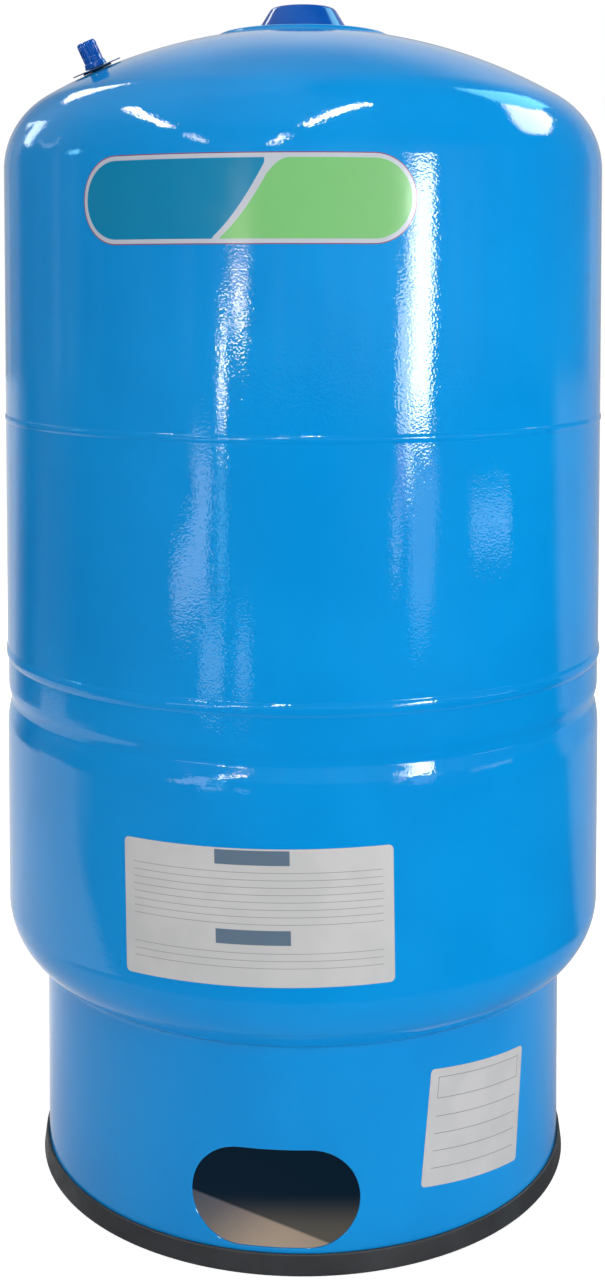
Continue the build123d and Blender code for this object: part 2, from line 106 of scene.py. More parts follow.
Point = tuple[float, float]
Flat = tuple[list[Point], list[tuple[int, ...]]]
Spot = tuple[float, float, float]
Rungs = tuple[tuple[Spot, Spot], ...]


# Node trees


def linear(colour: str) -> tuple[float, float, float, float]:
    """Turns an sRGB hex colour to linear light.

    Args:
        colour: Hex value such as "#0A8CDC".

    Returns:
        Linear red, green and blue, and full opacity.
    """
    parts = (int(colour[i : i + 2], 16) / 255 for i in (1, 3, 5))
    return (*(p / 12.92 if p <= 0.04045 else ((p + 0.055) / 1.055) ** 2.4 for p in parts), 1.0)


class Tree:
    """A node tree and the steps that it's written in, which take values or sockets and give a socket."""

    def __init__(self, tree: bpy.types.NodeTree) -> None:
        """Empties a tree and takes it over."""
        tree.nodes.clear()
        self.tree = tree

    def add(self, kind: str, inputs: dict[Any, Any] | None = None, **settings: Any) -> Any:
        """Adds a node with its settings and its links.

        Args:
            kind: Blender's name for the kind of node.
            inputs: Input name or number, with a socket to link from or a value to set.
            settings: The node's own properties.

        Returns:
            The new node.
        """
        node = self.tree.nodes.new(kind)
        for key, value in settings.items():
            setattr(node, key, value)
        for key, value in (inputs or {}).items():
            if isinstance(value, bpy.types.NodeSocket):
                self.tree.links.new(value, node.inputs[key])
            else:
                node.inputs[key].default_value = value
        return node

    def math(self, operation: str, *values: Any) -> Any:
        """Works something out.

        Args:
            operation: Name of the step of arithmetic, such as "ADD".
            values: What it works on.

        Returns:
            The result.
        """
        return self.add("ShaderNodeMath", dict(enumerate(values)), operation=operation).outputs[0]

    def blend(self, share: Any, first: Any, second: Any) -> Any:
        """Mixes two numbers or two colours.

        Args:
            share: 0 for the first and 1 for the second.
            first: Number or colour.
            second: Number or colour.

        Returns:
            The mix.
        """
        coloured = isinstance(first, tuple) or getattr(first, "type", "") == "RGBA"
        a, b, result, kind = (6, 7, 2, "RGBA") if coloured else (2, 3, 0, "FLOAT")
        return self.add("ShaderNodeMix", {0: share, a: first, b: second}, data_type=kind).outputs[result]

    def eased(self, value: Any, low: float, high: float, first: float = 0.0, last: float = 1.0) -> Any:
        """Changes the range of a value, clamped and with soft ends.

        Args:
            value: The value.
            low: Value that becomes first.
            high: Value that becomes last.
            first: Result at low.
            last: Result at high.

        Returns:
            The result.
        """
        links = {"Value": value, "From Min": low, "From Max": high, "To Min": first, "To Max": last}
        return self.add("ShaderNodeMapRange", links, interpolation_type="SMOOTHSTEP").outputs[0]

    def around(self, place: Any, *stops: Point) -> Any:
        """Makes a level that changes round the Z axis.

        Args:
            place: Direction or place.
            stops: Azimuths in rising order, each with its level.

        Returns:
            The level.
        """
        part = self.add("ShaderNodeSeparateXYZ", {0: place}).outputs
        turn = self.math("ARCTAN2", part["X"], self.math("MULTIPLY", part["Y"], -1.0))
        node = self.add("ShaderNodeValToRGB", {0: self.math("MULTIPLY_ADD", turn, 0.5 / pi, 0.5)})
        elements = node.color_ramp.elements
        while len(elements) < len(stops):
            elements.new(0.5)
        for element, (azimuth, amount) in zip(elements, stops):
            element.position = azimuth / 360 + 0.5
            element.color = (amount, amount, amount, 1.0)
        return node.outputs[0]


class ShapeTree(Tree):
    """A Geometry Nodes tree that takes a shape, named sizes and a material, and gives a dressed shape."""

    def __init__(self, name: str, sizes: dict[str, str]) -> None:
        """Opens the tree.

        Args:
            name: Its name.
            sizes: Input names with their socket types, such as {"Count": "Int"}.
        """
        super().__init__(bpy.data.node_groups.new(name, "GeometryNodeTree"))
        sockets = self.tree.interface
        for key, kind in {"Shape": "Geometry", **sizes, "Finish": "Material"}.items():
            sockets.new_socket(key, in_out="INPUT", socket_type=f"NodeSocket{kind}")
        sockets.new_socket("Shape", in_out="OUTPUT", socket_type="NodeSocketGeometry")
        self.given = self.add("NodeGroupInput").outputs

    def close(self, shape: Any) -> bpy.types.NodeTree:
        """Ends the tree in smooth faces, real geometry and its material.

        Args:
            shape: Socket with the finished shape.

        Returns:
            The tree.
        """
        smooth = self.add("GeometryNodeSetShadeSmooth", {"Geometry": shape})
        real = self.add("GeometryNodeRealizeInstances", {"Geometry": smooth.outputs[0]})
        links = {"Geometry": real.outputs[0], "Material": self.given["Finish"]}
        dressed = self.add("GeometryNodeSetMaterial", links)
        self.add("NodeGroupOutput", {"Shape": dressed.outputs[0]})
        return self.tree


def own_tree(owner: Any) -> Tree:
    """Gives a material or a world an empty tree of its own."""
    owner.use_nodes = True
    return Tree(owner.node_tree)


def turned_tree() -> bpy.types.NodeTree:
    """Makes the tree that turns a profile round Z, with weld ripples and a slight unevenness.

    The shape that goes in is the profile's points in order, radius on X and height on Z. Their "weld"
    and "sheet" attributes say where the ripples and the unevenness go.

    Returns:
        The tree.
    """
    reliefs = {"weld": ("Ripple Height", "Ripple Size"), "sheet": ("Sheet Wave", "Sheet Wave Size")}
    sizes = {"Points": "Int", "Segments": "Int", "Seed": "Int"}
    tree = ShapeTree("turned form", sizes | {key: "Float" for pair in reliefs.values() for key in pair})
    size, math = tree.given, tree.math
    rows = math("SUBTRACT", size["Points"], 1.0)
    grid = tree.add("GeometryNodeMeshGrid", {
        "Size X": size["Segments"], "Size Y": rows,
        "Vertices X": math("ADD", size["Segments"], 1.0), "Vertices Y": size["Points"],
    })
    place = tree.add("GeometryNodeInputPosition").outputs[0]
    flat = tree.add("ShaderNodeSeparateXYZ", {0: place}).outputs
    column = math("ADD", flat["X"], math("DIVIDE", size["Segments"], 2.0))
    row = math("ROUND", math("ADD", flat["Y"], math("DIVIDE", rows, 2.0)))
    turn = math("MULTIPLY", column, math("DIVIDE", 2 * pi, size["Segments"]))

    def sampled(kind: str, value: Any) -> Any:
        """Reads one value from the profile's point for this row."""
        links = {"Geometry": size["Shape"], "Value": value, "Index": row}
        return tree.add("GeometryNodeSampleIndex", links, data_type=kind).outputs[0]

    profile = tree.add("ShaderNodeSeparateXYZ", {0: sampled("FLOAT_VECTOR", place)}).outputs
    sine, cosine = math("SINE", turn), math("COSINE", turn)

    def at(radius: Any) -> Any:
        """Gives the point at a radius on this column and row."""
        y = math("MULTIPLY", math("MULTIPLY", radius, cosine), -1.0)
        links = {"X": math("MULTIPLY", radius, sine), "Y": y, "Z": profile["Z"]}
        return tree.add("ShaderNodeCombineXYZ", links).outputs[0]

    radius = profile["X"]
    for mask, (height, pitch) in reliefs.items():
        named = tree.add("GeometryNodeInputNamedAttribute", {"Name": mask}, data_type="FLOAT")
        share = sampled("FLOAT", named.outputs[0])
        noise = tree.add("ShaderNodeTexNoise", {
            "Vector": at(profile["X"]), "W": size["Seed"], "Scale": math("DIVIDE", 1.0, size[pitch]),
            "Detail": 1.0,
        }, noise_dimensions="4D")
        swing = math("MULTIPLY", math("SUBTRACT", noise.outputs[0], 0.5), 2.0)
        radius = math("ADD", radius, math("MULTIPLY", math("MULTIPLY", swing, share), size[height]))
    shaped = tree.add("GeometryNodeSetPosition", {"Geometry": grid.outputs[0], "Position": at(radius)})
    links = {"Geometry": shaped.outputs[0], "Distance": MERGE}
    return tree.close(tree.add("GeometryNodeMergeByDistance", links).outputs[0])


def radial_tree() -> bpy.types.NodeTree:
    """Makes the tree that sets copies of a shape evenly round Z.

    Returns:
        The tree.
    """
    tree = ShapeTree("radial copies", {"Count": "Int"})
    count = tree.given["Count"]
    spots = tree.add("GeometryNodeMeshLine", {"Count": count, "Offset": (0, 0, 0)})
    number = tree.add("GeometryNodeInputIndex").outputs[0]
    turn = tree.math("MULTIPLY", number, tree.math("DIVIDE", 2 * pi, count))
    angles = tree.add("ShaderNodeCombineXYZ", {"Z": turn})
    spin = tree.add("FunctionNodeEulerToRotation", {0: angles.outputs[0]})
    links = {"Points": spots.outputs[0], "Instance": tree.given["Shape"], "Rotation": spin.outputs[0]}
    return tree.close(tree.add("GeometryNodeInstanceOnPoints", links).outputs[0])


def thread_tree() -> bpy.types.NodeTree:
    """Makes the tree that winds a screw thread's ridge round Z.

    Returns:
        The tree.
    """
    sizes = {"Radius": "Float", "Pitch": "Float", "Turns": "Float", "Ridge": "Float", "Steps": "Int"}
    tree = ShapeTree("screw thread", sizes)
    size = tree.given
    helix = tree.add("GeometryNodeCurveSpiral", {
        "Resolution": size["Steps"], "Rotations": size["Turns"], "Start Radius": size["Radius"],
        "End Radius": size["Radius"], "Height": tree.math("MULTIPLY", size["Turns"], size["Pitch"]),
    })
    section = tree.add("GeometryNodeCurvePrimitiveCircle", {"Resolution": 4, "Radius": size["Ridge"]})
    links = {"Curve": helix.outputs[0], "Profile Curve": section.outputs[0], "Fill Caps": True}
    return tree.close(tree.add("GeometryNodeCurveToMesh", links).outputs[0])


def wall_tree() -> bpy.types.NodeTree:
    """Makes the tree that lays a flat cut-out, or rows of it, on a round wall.

    Returns:
        The tree.
    """
    lengths = ("Copy Pitch", "Wall Radius", "Azimuth", "Height", "Tilt")
    tree = ShapeTree("laid on a round wall", {"Copies": "Int"} | {key: "Float" for key in lengths})
    size, math = tree.given, tree.math
    step = tree.add("ShaderNodeCombineXYZ", {"Y": math("MULTIPLY", size["Copy Pitch"], -1.0)})
    spots = tree.add("GeometryNodeMeshLine", {"Count": size["Copies"], "Offset": step.outputs[0]})
    links = {"Points": spots.outputs[0], "Instance": size["Shape"]}
    rows = tree.add("GeometryNodeInstanceOnPoints", links)
    real = tree.add("GeometryNodeRealizeInstances", {"Geometry": rows.outputs[0]})
    links = {"Vector": tree.add("GeometryNodeInputPosition").outputs[0], "Angle": size["Tilt"]}
    turned = tree.add("ShaderNodeVectorRotate", links, rotation_type="Z_AXIS")
    flat = tree.add("ShaderNodeSeparateXYZ", {0: turned.outputs[0]}).outputs
    angle = math("ADD", size["Azimuth"], math("DIVIDE", flat["X"], size["Wall Radius"]))
    radius = math("ADD", size["Wall Radius"], flat["Z"])
    wrapped = tree.add("ShaderNodeCombineXYZ", {
        "X": math("MULTIPLY", radius, math("SINE", angle)),
        "Y": math("MULTIPLY", math("MULTIPLY", radius, math("COSINE", angle)), -1.0),
        "Z": math("ADD", size["Height"], flat["Y"]),
    })
    links = {"Geometry": real.outputs[0], "Position": wrapped.outputs[0]}
    return tree.close(tree.add("GeometryNodeSetPosition", links).outputs[0])


# Meshes


def link_mesh(name: str, points: Sequence[Sequence[float]], faces: Sequence[Sequence[int]]) -> Any:
    """Makes an object from points in millimetres and faces.

    Args:
        name: Name of the object and its mesh.
        points: Corner points.
        faces: Point numbers of each face; none for a bare run of points.

    Returns:
        The object, linked to the scene.
    """
    mesh = bpy.data.meshes.new(name)
    mesh.from_pydata([[c * MM for c in p] for p in points], [], faces)
    made = bpy.data.objects.new(name, mesh)
    bpy.context.scene.collection.objects.link(made)
    return made


def grow(source: Any, tree: bpy.types.NodeTree, values: dict[str, Any]) -> Any:
    """Runs a Geometry Nodes tree on an object and keeps the result as its plain mesh.

    Args:
        source: Object with the tree's starting shape.
        tree: The tree.
        values: Input names with their values, lengths in metres.

    Returns:
        The same object, with no modifier left on it.
    """
    modifier = source.modifiers.new(tree.name, "NODES")
    modifier.node_group = tree
    for item in tree.interface.items_tree:
        if item.item_type == "SOCKET" and item.in_out == "INPUT" and item.name in values:
            modifier[item.identifier] = values[item.name]
    graph = bpy.context.evaluated_depsgraph_get()
    plain = bpy.data.meshes.new_from_object(source.evaluated_get(graph), depsgraph=graph)
    source.modifiers.remove(modifier)
    # A tree can leave an empty slot before the finish's own.
    plain.materials.clear()
    plain.materials.append(values["Finish"])
    plain.polygons.foreach_set("material_index", [0] * len(plain.polygons))
    old, source.data = source.data, plain
    name = old.name
    bpy.data.meshes.remove(old)
    plain.name = name
    return source


def clean(made: Any, crease: float = 35.0, outward: bool = True) -> Any:
    """Welds a mesh's doubles, turns its faces outwards and keeps its hard edges.

    Args:
        made: Object with the mesh.
        crease: Angle in degrees from which an edge is hard.
        outward: Whether the faces' direction is worked out anew.

    Returns:
        The same object.
    """
    shape = bmesh.new()
    shape.from_mesh(made.data)
    bmesh.ops.remove_doubles(shape, verts=shape.verts, dist=MERGE)
    bmesh.ops.dissolve_degenerate(shape, edges=shape.edges, dist=MERGE / 4)
    if outward:
        bmesh.ops.recalc_face_normals(shape, faces=shape.faces)
    shape.to_mesh(made.data)
    shape.free()
    made.data.shade_smooth()
    made.data.set_sharp_from_angle(angle=radians(crease))
    return made


def join(kept: Any, *others: Any) -> Any:
    """Adds the meshes of other objects to one object.

    Args:
        kept: Object that takes them.
        others: Objects that are used up.

    Returns:
        The kept object.
    """
    shape = bmesh.new()
    for each in (kept, *others):
        shape.from_mesh(each.data)
    shape.to_mesh(kept.data)
    shape.free()
    for each in others:
        bpy.data.objects.remove(each)
    return kept


def hand_over(made: Any, body: str, slot: str, *nodes: str) -> Any:
    """Gives a finished piece its body, and hides the nodes that it stands for.

    Args:
        made: The piece.
        body: Body that it rides on.
        slot: The record's material slot; not used.
        nodes: Nodes that it replaces.

    Returns:
        The same piece.
    """
    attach(made, body)
    if nodes:
        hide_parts(*nodes)
    log.info("%s: %d faces, rides on %s", made.name, len(made.data.polygons), body)
    return made


# Profiles


@dataclass
class Profile:
    """A run of points that a turned form is swept from: radius, height, weld share, sheet share."""

    points: list[tuple[float, float, float, float]] = field(default_factory=list)

    def to(self, radius: float, height: float, steps: int = 1, sheet: float = 0.0) -> Profile:
        """Runs straight to a point.

        Args:
            radius: The point's radius.
            height: The point's height.
            steps: Number of parts that the run is cut in.
            sheet: Share of the sheet's unevenness on it.

        Returns:
            The same profile.
        """
        if not self.points:
            self.points.append((radius, height, 0.0, sheet))
            return self
        r, z = self.points[-1][:2]
        for i in range(1, steps + 1):
            t = i / steps
            self.points.append((r + (radius - r) * t, z + (height - z) * t, 0.0, sheet))
        return self

    def arc(
        self, centre: Point, radius: float, start: float, end: float, steps: int, sheet: float = 0.0
    ) -> Profile:
        """Adds an arc, its start point included.

        Args:
            centre: Centre's radius and height.
            radius: The arc's own radius.
            start: First angle in degrees, 0 outwards and 90 up.
            end: Last angle in degrees.
            steps: Number of parts.
            sheet: Share of the sheet's unevenness on it.

        Returns:
            The same profile.
        """
        for i in range(steps + 1):
            a = radians(start + (end - start) * i / steps)
            spot = (centre[0] + radius * cos(a), centre[1] + radius * sin(a))
            self.points.append((*spot, 0.0, sheet))
        return self

    def bend(self, *corners: Point, steps: int) -> Profile:
        """Adds a cubic curve from the last point.

        Args:
            corners: Two control points and the end point.
            steps: Number of parts.

        Returns:
            The same profile.
        """
        p = [self.points[-1][:2], *corners]
        for i in range(1, steps + 1):
            t = i / steps
            w = ((1 - t) ** 3, 3 * t * (1 - t) ** 2, 3 * t * t * (1 - t), t**3)
            spot = (sum(w[k] * p[k][axis] for k in range(4)) for axis in (0, 1))
            self.points.append((*spot, 0.0, 0.0))
        return self

    def back_along(self, other: Profile) -> Profile:
        """Adds another profile's points, last first.

        Args:
            other: Profile to run back along.

        Returns:
            The same profile.
        """
        self.points.extend(reversed(other.points))
        return self

    def turn(
        self, name: str, finish: Any, tools: Tools, segments: int = 96,
        ripple: Point = (0.0, 1.0), wave: Point = (0.0, 1.0), seed: int = 1,
    ) -> Any:
        """Turns the profile round Z to a closed form.

        Args:
            name: Name of the piece.
            finish: Its material.
            tools: The Geometry Nodes trees.
            segments: Number of parts round the axis.
            ripple: Height and size of the weld ripples.
            wave: Height and size of the sheet's unevenness.
            seed: Seed of both.

        Returns:
            The piece.
        """
        points = self.points
        if hypot(points[0][0] - points[-1][0], points[0][1] - points[-1][1]) > MERGE:
            points = [*points, points[0]]
        made = link_mesh(name, [(r, 0, z) for r, z, _, _ in points], [])
        for key, column in (("weld", 2), ("sheet", 3)):
            share = made.data.attributes.new(key, "FLOAT", "POINT")
            share.data.foreach_set("value", [p[column] for p in points])
        values = {
            "Points": len(points),
            "Segments": segments,
            "Ripple Height": ripple[0] * MM,
            "Ripple Size": ripple[1] * MM,
            "Sheet Wave": wave[0] * MM,
            "Sheet Wave Size": wave[1] * MM,
            "Seed": seed,
            "Finish": finish,
        }
        return clean(grow(made, tools.turned, values))


class Tools:
    """The Geometry Nodes trees, each built once."""

    def __init__(self) -> None:
        """Builds the four trees."""
        self.turned = turned_tree()
        self.radial = radial_tree()
        self.thread = thread_tree()
        self.wall = wall_tree()


# Finishes


class Lay(Enum):
    """Which way the fine lines of a surface run."""

    NONE = "none"
    ROUND = "round"


@dataclass(frozen=True)
class Finish:
    """What one real surface looks like.

    Attributes:
        name: The real material and how its surface was made.
        colour: Main colour, sRGB hex.
        tint: Colour of its soft patches, sRGB hex.
        patch: Size of those patches.
        roughness: Mean roughness.
        spread: How far the roughness goes either way.
        metallic: 1 for a metal.
        ior: Refractive index of a non-metal.
        grain: Size of the fine relief.
        finer: Number of finer layers in it.
        grain_depth: Height of the fine relief.
        swell: Size of the broad relief.
        swell_depth: Height of the broad relief.
        lay: Direction of the tool or mould lines.
        line: Distance between those lines.
        line_depth: Height of those lines.
        axis: Place and turn of the axis that the lines run round, if it isn't the tank's own.
    """

    name: str
    colour: str
    tint: str
    patch: float = 60.0
    roughness: float = 0.3
    spread: float = 0.05
    metallic: float = 0.0
    ior: float = 1.5
    grain: float = 1.0
    finer: float = 3.0
    grain_depth: float = 0.01
    swell: float = 12.0
    swell_depth: float = 0.0
    lay: Lay = Lay.NONE
    line: float = 1.0
    line_depth: float = 0.0
    axis: tuple[Vector, Vector] | None = None

    def build(self) -> bpy.types.Material:
        """Makes the material.

        Returns:
            The material.
        """
        made = bpy.data.materials.new(self.name)
        tree = own_tree(made)
        where = tree.add("ShaderNodeTexCoord").outputs["Object"]
        patches = self.noise(tree, where, self.patch, 2.0)
        colour = tree.blend(tree.eased(patches, 0.35, 0.65), linear(self.colour), linear(self.tint))
        grain = self.noise(tree, where, self.grain, self.finer)
        uneven = self.noise(tree, where, self.patch / 3, 3.0)
        rough = tree.eased(uneven, 0.3, 0.7, self.roughness - self.spread, self.roughness + self.spread)
        normal = self.relief(tree, grain, self.grain_depth)
        if self.swell_depth:
            normal = self.relief(tree, self.noise(tree, where, self.swell, 1.0), self.swell_depth, normal)
        if self.lay is Lay.ROUND:
            normal = self.relief(tree, self.lines(tree, where), self.line_depth, normal)
        links = {"Base Color": colour, "Roughness": rough, "Normal": normal, "Metallic": self.metallic}
        if not self.metallic:
            links["IOR"] = self.ior
        shader = tree.add("ShaderNodeBsdfPrincipled", links)
        tree.add("ShaderNodeOutputMaterial", {"Surface": shader.outputs[0]})
        return made

    def noise(self, tree: Tree, where: Any, size: float, detail: float) -> Any:
        """Adds noise with features of a real size.

        Args:
            tree: The material's tree.
            where: Socket with the place.
            size: Size of a feature.
            detail: Number of finer layers.

        Returns:
            The socket with the noise.
        """
        links = {"Vector": where, "Scale": 1 / (size * MM), "Detail": detail}
        return tree.add("ShaderNodeTexNoise", links).outputs[0]

    def relief(self, tree: Tree, height: Any, depth: float, under: Any = None) -> Any:
        """Adds relief of a real height.

        Args:
            tree: The material's tree.
            height: Socket with the height from 0 to 1.
            depth: Height in millimetres.
            under: Socket with the relief so far, if there is any.

        Returns:
            The socket with the normal.
        """
        links = {"Height": height, "Distance": depth * MM, "Strength": 1.0}
        if under is not None:
            links["Normal"] = under
        return tree.add("ShaderNodeBump", links).outputs[0]

    def lines(self, tree: Tree, where: Any) -> Any:
        """Adds fine lines that run round the piece's own axis.

        Args:
            tree: The material's tree.
            where: Socket with the place.

        Returns:
            The socket with the lines' height.
        """
        if self.axis is not None:
            links = {"Vector": where, "Location": self.axis[0], "Rotation": self.axis[1]}
            where = tree.add("ShaderNodeMapping", links, vector_type="TEXTURE").outputs[0]
        part = tree.add("ShaderNodeSeparateXYZ", {0: where}).outputs
        squares = [tree.math("MULTIPLY", part[key], part[key]) for key in "XY"]
        place = tree.math("ADD", part["Z"], tree.math("SQRT", tree.math("ADD", *squares)))
        stretched = tree.add("ShaderNodeCombineXYZ", {"X": place}).outputs[0]
        return self.noise(tree, stretched, self.line, 2.0)


# Polyester powder enamel baked on drawn steel: deep even blue with a wet gloss. It flows out with an
# orange peel of 2 to 3 mm, which breaks up the edges of every reflection.
ENAMEL = Finish(
    "blue polyester enamel baked on steel", "#068ED9", "#0893DE", patch=90.0, roughness=0.04, spread=0.01,
    grain=1.3, finer=0.0, grain_depth=0.038, swell=9.0, swell_depth=0.03,
)
# Ethylene propylene rubber, extruded: dark grey with a dull sheen and faint draw lines.
FOOT_RUBBER = Finish(
    "extruded grey rubber", "#24272B", "#2C3034", patch=35.0, roughness=0.52, spread=0.08, grain=0.6,
    grain_depth=0.02, swell=9.0, swell_depth=0.03, lay=Lay.ROUND, line=1.1, line_depth=0.02,
)
# Nitrile rubber, moulded and pressed flat: near black and matt.
SEAL_RUBBER = Finish(
    "moulded nitrile rubber", "#1B1C1E", "#232427", patch=8.0, roughness=0.6, spread=0.06, grain=0.4,
    grain_depth=0.01,
)
# Butyl rubber, moulded in one sheet: black with a bloom that greys it in clouds.
BUTYL = Finish(
    "moulded butyl rubber", "#17181A", "#2A2C2E", patch=45.0, roughness=0.58, spread=0.1, grain=0.8,
    grain_depth=0.02,
)
# Polypropylene, injection moulded in royal blue: even colour and a soft polish from the mould.
CAP_PLASTIC = Finish(
    "injection moulded blue polypropylene", "#0052AE", "#0258B6", patch=18.0, roughness=0.13, spread=0.03,
    grain=0.5, grain_depth=0.004, swell=7.0, swell_depth=0.012,
)
# Natural polypropylene, blow moulded: milky white and waxy.
LINER_PLASTIC = Finish(
    "natural moulded polypropylene", "#D6D7D1", "#CBCDC8", patch=50.0, roughness=0.42, spread=0.06, grain=1.5,
    grain_depth=0.01, swell=20.0, swell_depth=0.05,
)
# Nylon 6, moulded thin, with a faint polish. Its light blue is painted: a painted reflection of the blue cap,
# and painted light against the shade under the cap.
NYLON = Finish(
    "moulded black nylon", "#1A4A7C", "#1E5084", patch=8.0, roughness=0.34, spread=0.05, grain=0.5,
    grain_depth=0.004,
)
# Stainless steel, cast and bead blasted: grey with an even fine grain.
STAINLESS = Finish(
    "cast stainless steel", "#A9A8A4", "#9B9A97", patch=14.0, roughness=0.42, spread=0.08, metallic=1.0,
    grain=0.5, grain_depth=0.02,
)
# Free cutting steel, turned and left bare: grey with rings from the tool.
BARE_STEEL = Finish(
    "turned mild steel", "#8C8E90", "#7D7F81", patch=12.0, roughness=0.36, spread=0.08, metallic=1.0,
    grain=0.4, grain_depth=0.004, lay=Lay.ROUND, line=0.25, line_depth=0.01,
)
# Vinyl film, screen printed and laminated clear: flat colour under an even gloss.
VINYL = Finish(
    "printed vinyl film", "#C6CBD2", "#C0C6CE", patch=40.0, roughness=0.16, spread=0.03, grain=2.4,
    grain_depth=0.004, swell=16.0, swell_depth=0.03,
)
# Polyester label stock with a matt face: grey white, with a slight silkiness.
LABEL_FILM = Finish(
    "white polyester label film", "#C9C8C8", "#C2C2C2", patch=30.0, roughness=0.4, spread=0.05, grain=0.8,
    grain_depth=0.003, swell=18.0, swell_depth=0.03,
)


@dataclass
class Finishes:
    """The materials, made once and shared by the pieces."""

    made: dict[str, bpy.types.Material] = field(default_factory=dict)

    def get(self, finish: Finish) -> bpy.types.Material:
        """Gives a finish's material.

        Args:
            finish: The finish.

        Returns:
            Its material.
        """
        if finish.name not in self.made:
            self.made[finish.name] = finish.build()
        return self.made[finish.name]

    def ink(self, name: str, colour: str, base: Finish = VINYL) -> bpy.types.Material:
        """Gives a printed colour on a film.

        Args:
            name: Name of the ink.
            colour: Its colour, sRGB hex.
            base: The film that it's printed on.

        Returns:
            The material.
        """
        return self.get(replace(base, name=name, colour=colour, tint=colour))


# Pieces


@dataclass
class Vessel:
    """The three welded shells of the tank's body."""

    tools: Tools
    finishes: Finishes
    body_r: float = 200.0
    wall: float = 1.5
    crown_r: float = 339.6
    dome_knuckle_r: float = 54.7
    bowl_knuckle_r: float = 46.4
    bowl_h: float = 178.5
    lower_seam: float = 344.5
    upper_seam: float = 499.2
    dome_h: float = 661.7
    upper_bead: float = 0.9
    upper_bead_half: float = 2.4
    lower_bead: float = 1.1
    lower_bead_half: float = 4.0
    neck_in: float = 0.6
    waist_h: float = 311.5
    waist_depth: float = 2.3
    waist_rise: float = 12.0
    waist_fall: float = 18.5
    waist_turn: float = 2.2
    waist_ease: float = 11.3
    pad_r: float = 58.5
    pad_step: float = 2.4
    pad_blend: float = 3.2
    outlet_r: float = 17.0
    segments: int = 256
    ripple: Point = (0.26, 5.0)
    wave: Point = (0.025, 110.0)

    @property
    def dome_centre(self) -> float:
        """Height of the dome crown's centre."""
        gap = self.crown_r - self.dome_knuckle_r
        return self.dome_h - sqrt(gap**2 - (self.body_r - self.dome_knuckle_r) ** 2)

    @property
    def bowl_centre(self) -> float:
        """Height of the bowl crown's centre."""
        gap = self.crown_r - self.bowl_knuckle_r
        return self.bowl_h + sqrt(gap**2 - (self.body_r - self.bowl_knuckle_r) ** 2)

    @property
    def pad_top(self) -> float:
        """Height of the raised pad's middle."""
        return self.dome_centre + self.crown_r + self.pad_step

    def bead(self, profile: Profile, crest: Point, foot: Point, rising: bool) -> None:
        """Adds half of a weld bead's section to a profile.

        Args:
            profile: The profile.
            crest: Radius and height of the crest.
            foot: Radius and height of the toe on the wall.
            rising: Whether the run goes from the crest to the toe.
        """
        rise, run = crest[0] - foot[0], abs(foot[1] - crest[1])
        radius = (rise**2 + run**2) / (2 * rise)
        half = degrees(asin(run / radius))
        side = 1 if foot[1] > crest[1] else -1
        start, end = (0.0, side * half) if rising else (side * half, 0.0)
        centre = (crest[0] - radius, crest[1])
        steps = 7
        for i in range(steps + 1):
            a = radians(start + (end - start) * i / steps)
            share = 1 - abs(degrees(a)) / half
            profile.points.append((centre[0] + radius * cos(a), centre[1] + radius * sin(a), share, 0.0))

    def dome_run(self, inset: float, low: float, fine: int) -> Profile:
        """Draws the dome from the wall to the axis.

        Args:
            inset: Distance in from the outside.
            low: Height where the wall starts.
            fine: Number of parts in the wall; the other runs follow it.

        Returns:
            The run.
        """
        lean = degrees(asin((self.body_r - self.dome_knuckle_r) / (self.crown_r - self.dome_knuckle_r)))
        rho = self.crown_r - inset
        up = rho + self.pad_step
        radii = (self.pad_r + self.pad_blend, self.pad_r, self.pad_r - self.pad_blend)
        foot, middle, brow = (degrees(asin(r / self.crown_r)) for r in radii)

        def spot(reach: float, angle: float) -> Point:
            """Gives a point of a crown by its lean from the axis."""
            return (reach * sin(radians(angle)), self.dome_centre + reach * cos(radians(angle)))

        wall = self.body_r - inset
        run = Profile().to(wall, low).to(wall, low + 0.5).to(wall, self.dome_h - 1, fine, sheet=1.0)
        centre = (self.body_r - self.dome_knuckle_r, self.dome_h)
        run.arc(centre, self.dome_knuckle_r - inset, 0, 90 - lean, fine, sheet=0.6)
        run.arc((0, self.dome_centre), rho, 90 - lean + 0.3, 90 - foot, fine, sheet=1.0)
        run.bend(spot(rho, middle), spot(up, middle), spot(up, brow), steps=max(3, fine // 3))
        return run.arc((0, self.dome_centre), up, 90 - brow + 0.1, 90, max(4, fine // 3))

    def lower_run(self, inset: float, top: float, fine: int) -> Profile:
        """Draws the lower shell from its top through the waist and the bowl to the outlet.

        Args:
            inset: Distance in from the outside.
            top: Height where the run starts.
            fine: Number of parts in the wall; the other runs follow it.

        Returns:
            The run.
        """
        wall = self.body_r - inset
        high, foot = self.waist_h + self.waist_rise, self.waist_h - self.waist_fall
        root = wall - self.waist_depth
        neck = wall - self.neck_in
        mid_high = self.waist_h + self.waist_rise / 2
        turn, ease = self.waist_h - self.waist_turn, foot + self.waist_ease
        run = Profile().to(neck, top).to(neck, top - 0.5).to(neck, high, max(2, fine // 3), sheet=0.5)
        run.bend((neck, mid_high), (root, mid_high), (root, self.waist_h), steps=max(6, fine // 2))
        run.bend((root, turn), (wall, ease), (wall, foot), steps=max(8, fine))
        run.to(wall, self.bowl_h + 1, fine, sheet=1.0)
        lean = degrees(asin((self.body_r - self.bowl_knuckle_r) / (self.crown_r - self.bowl_knuckle_r)))
        centre = (self.body_r - self.bowl_knuckle_r, self.bowl_h)
        run.arc(centre, self.bowl_knuckle_r - inset, 0, lean - 90, fine, sheet=0.6)
        rho = self.crown_r - inset
        hole = degrees(asin(self.outlet_r / rho))
        return run.arc((0, self.bowl_centre), rho, lean - 90 - 0.3, hole - 90, fine, sheet=1.0)

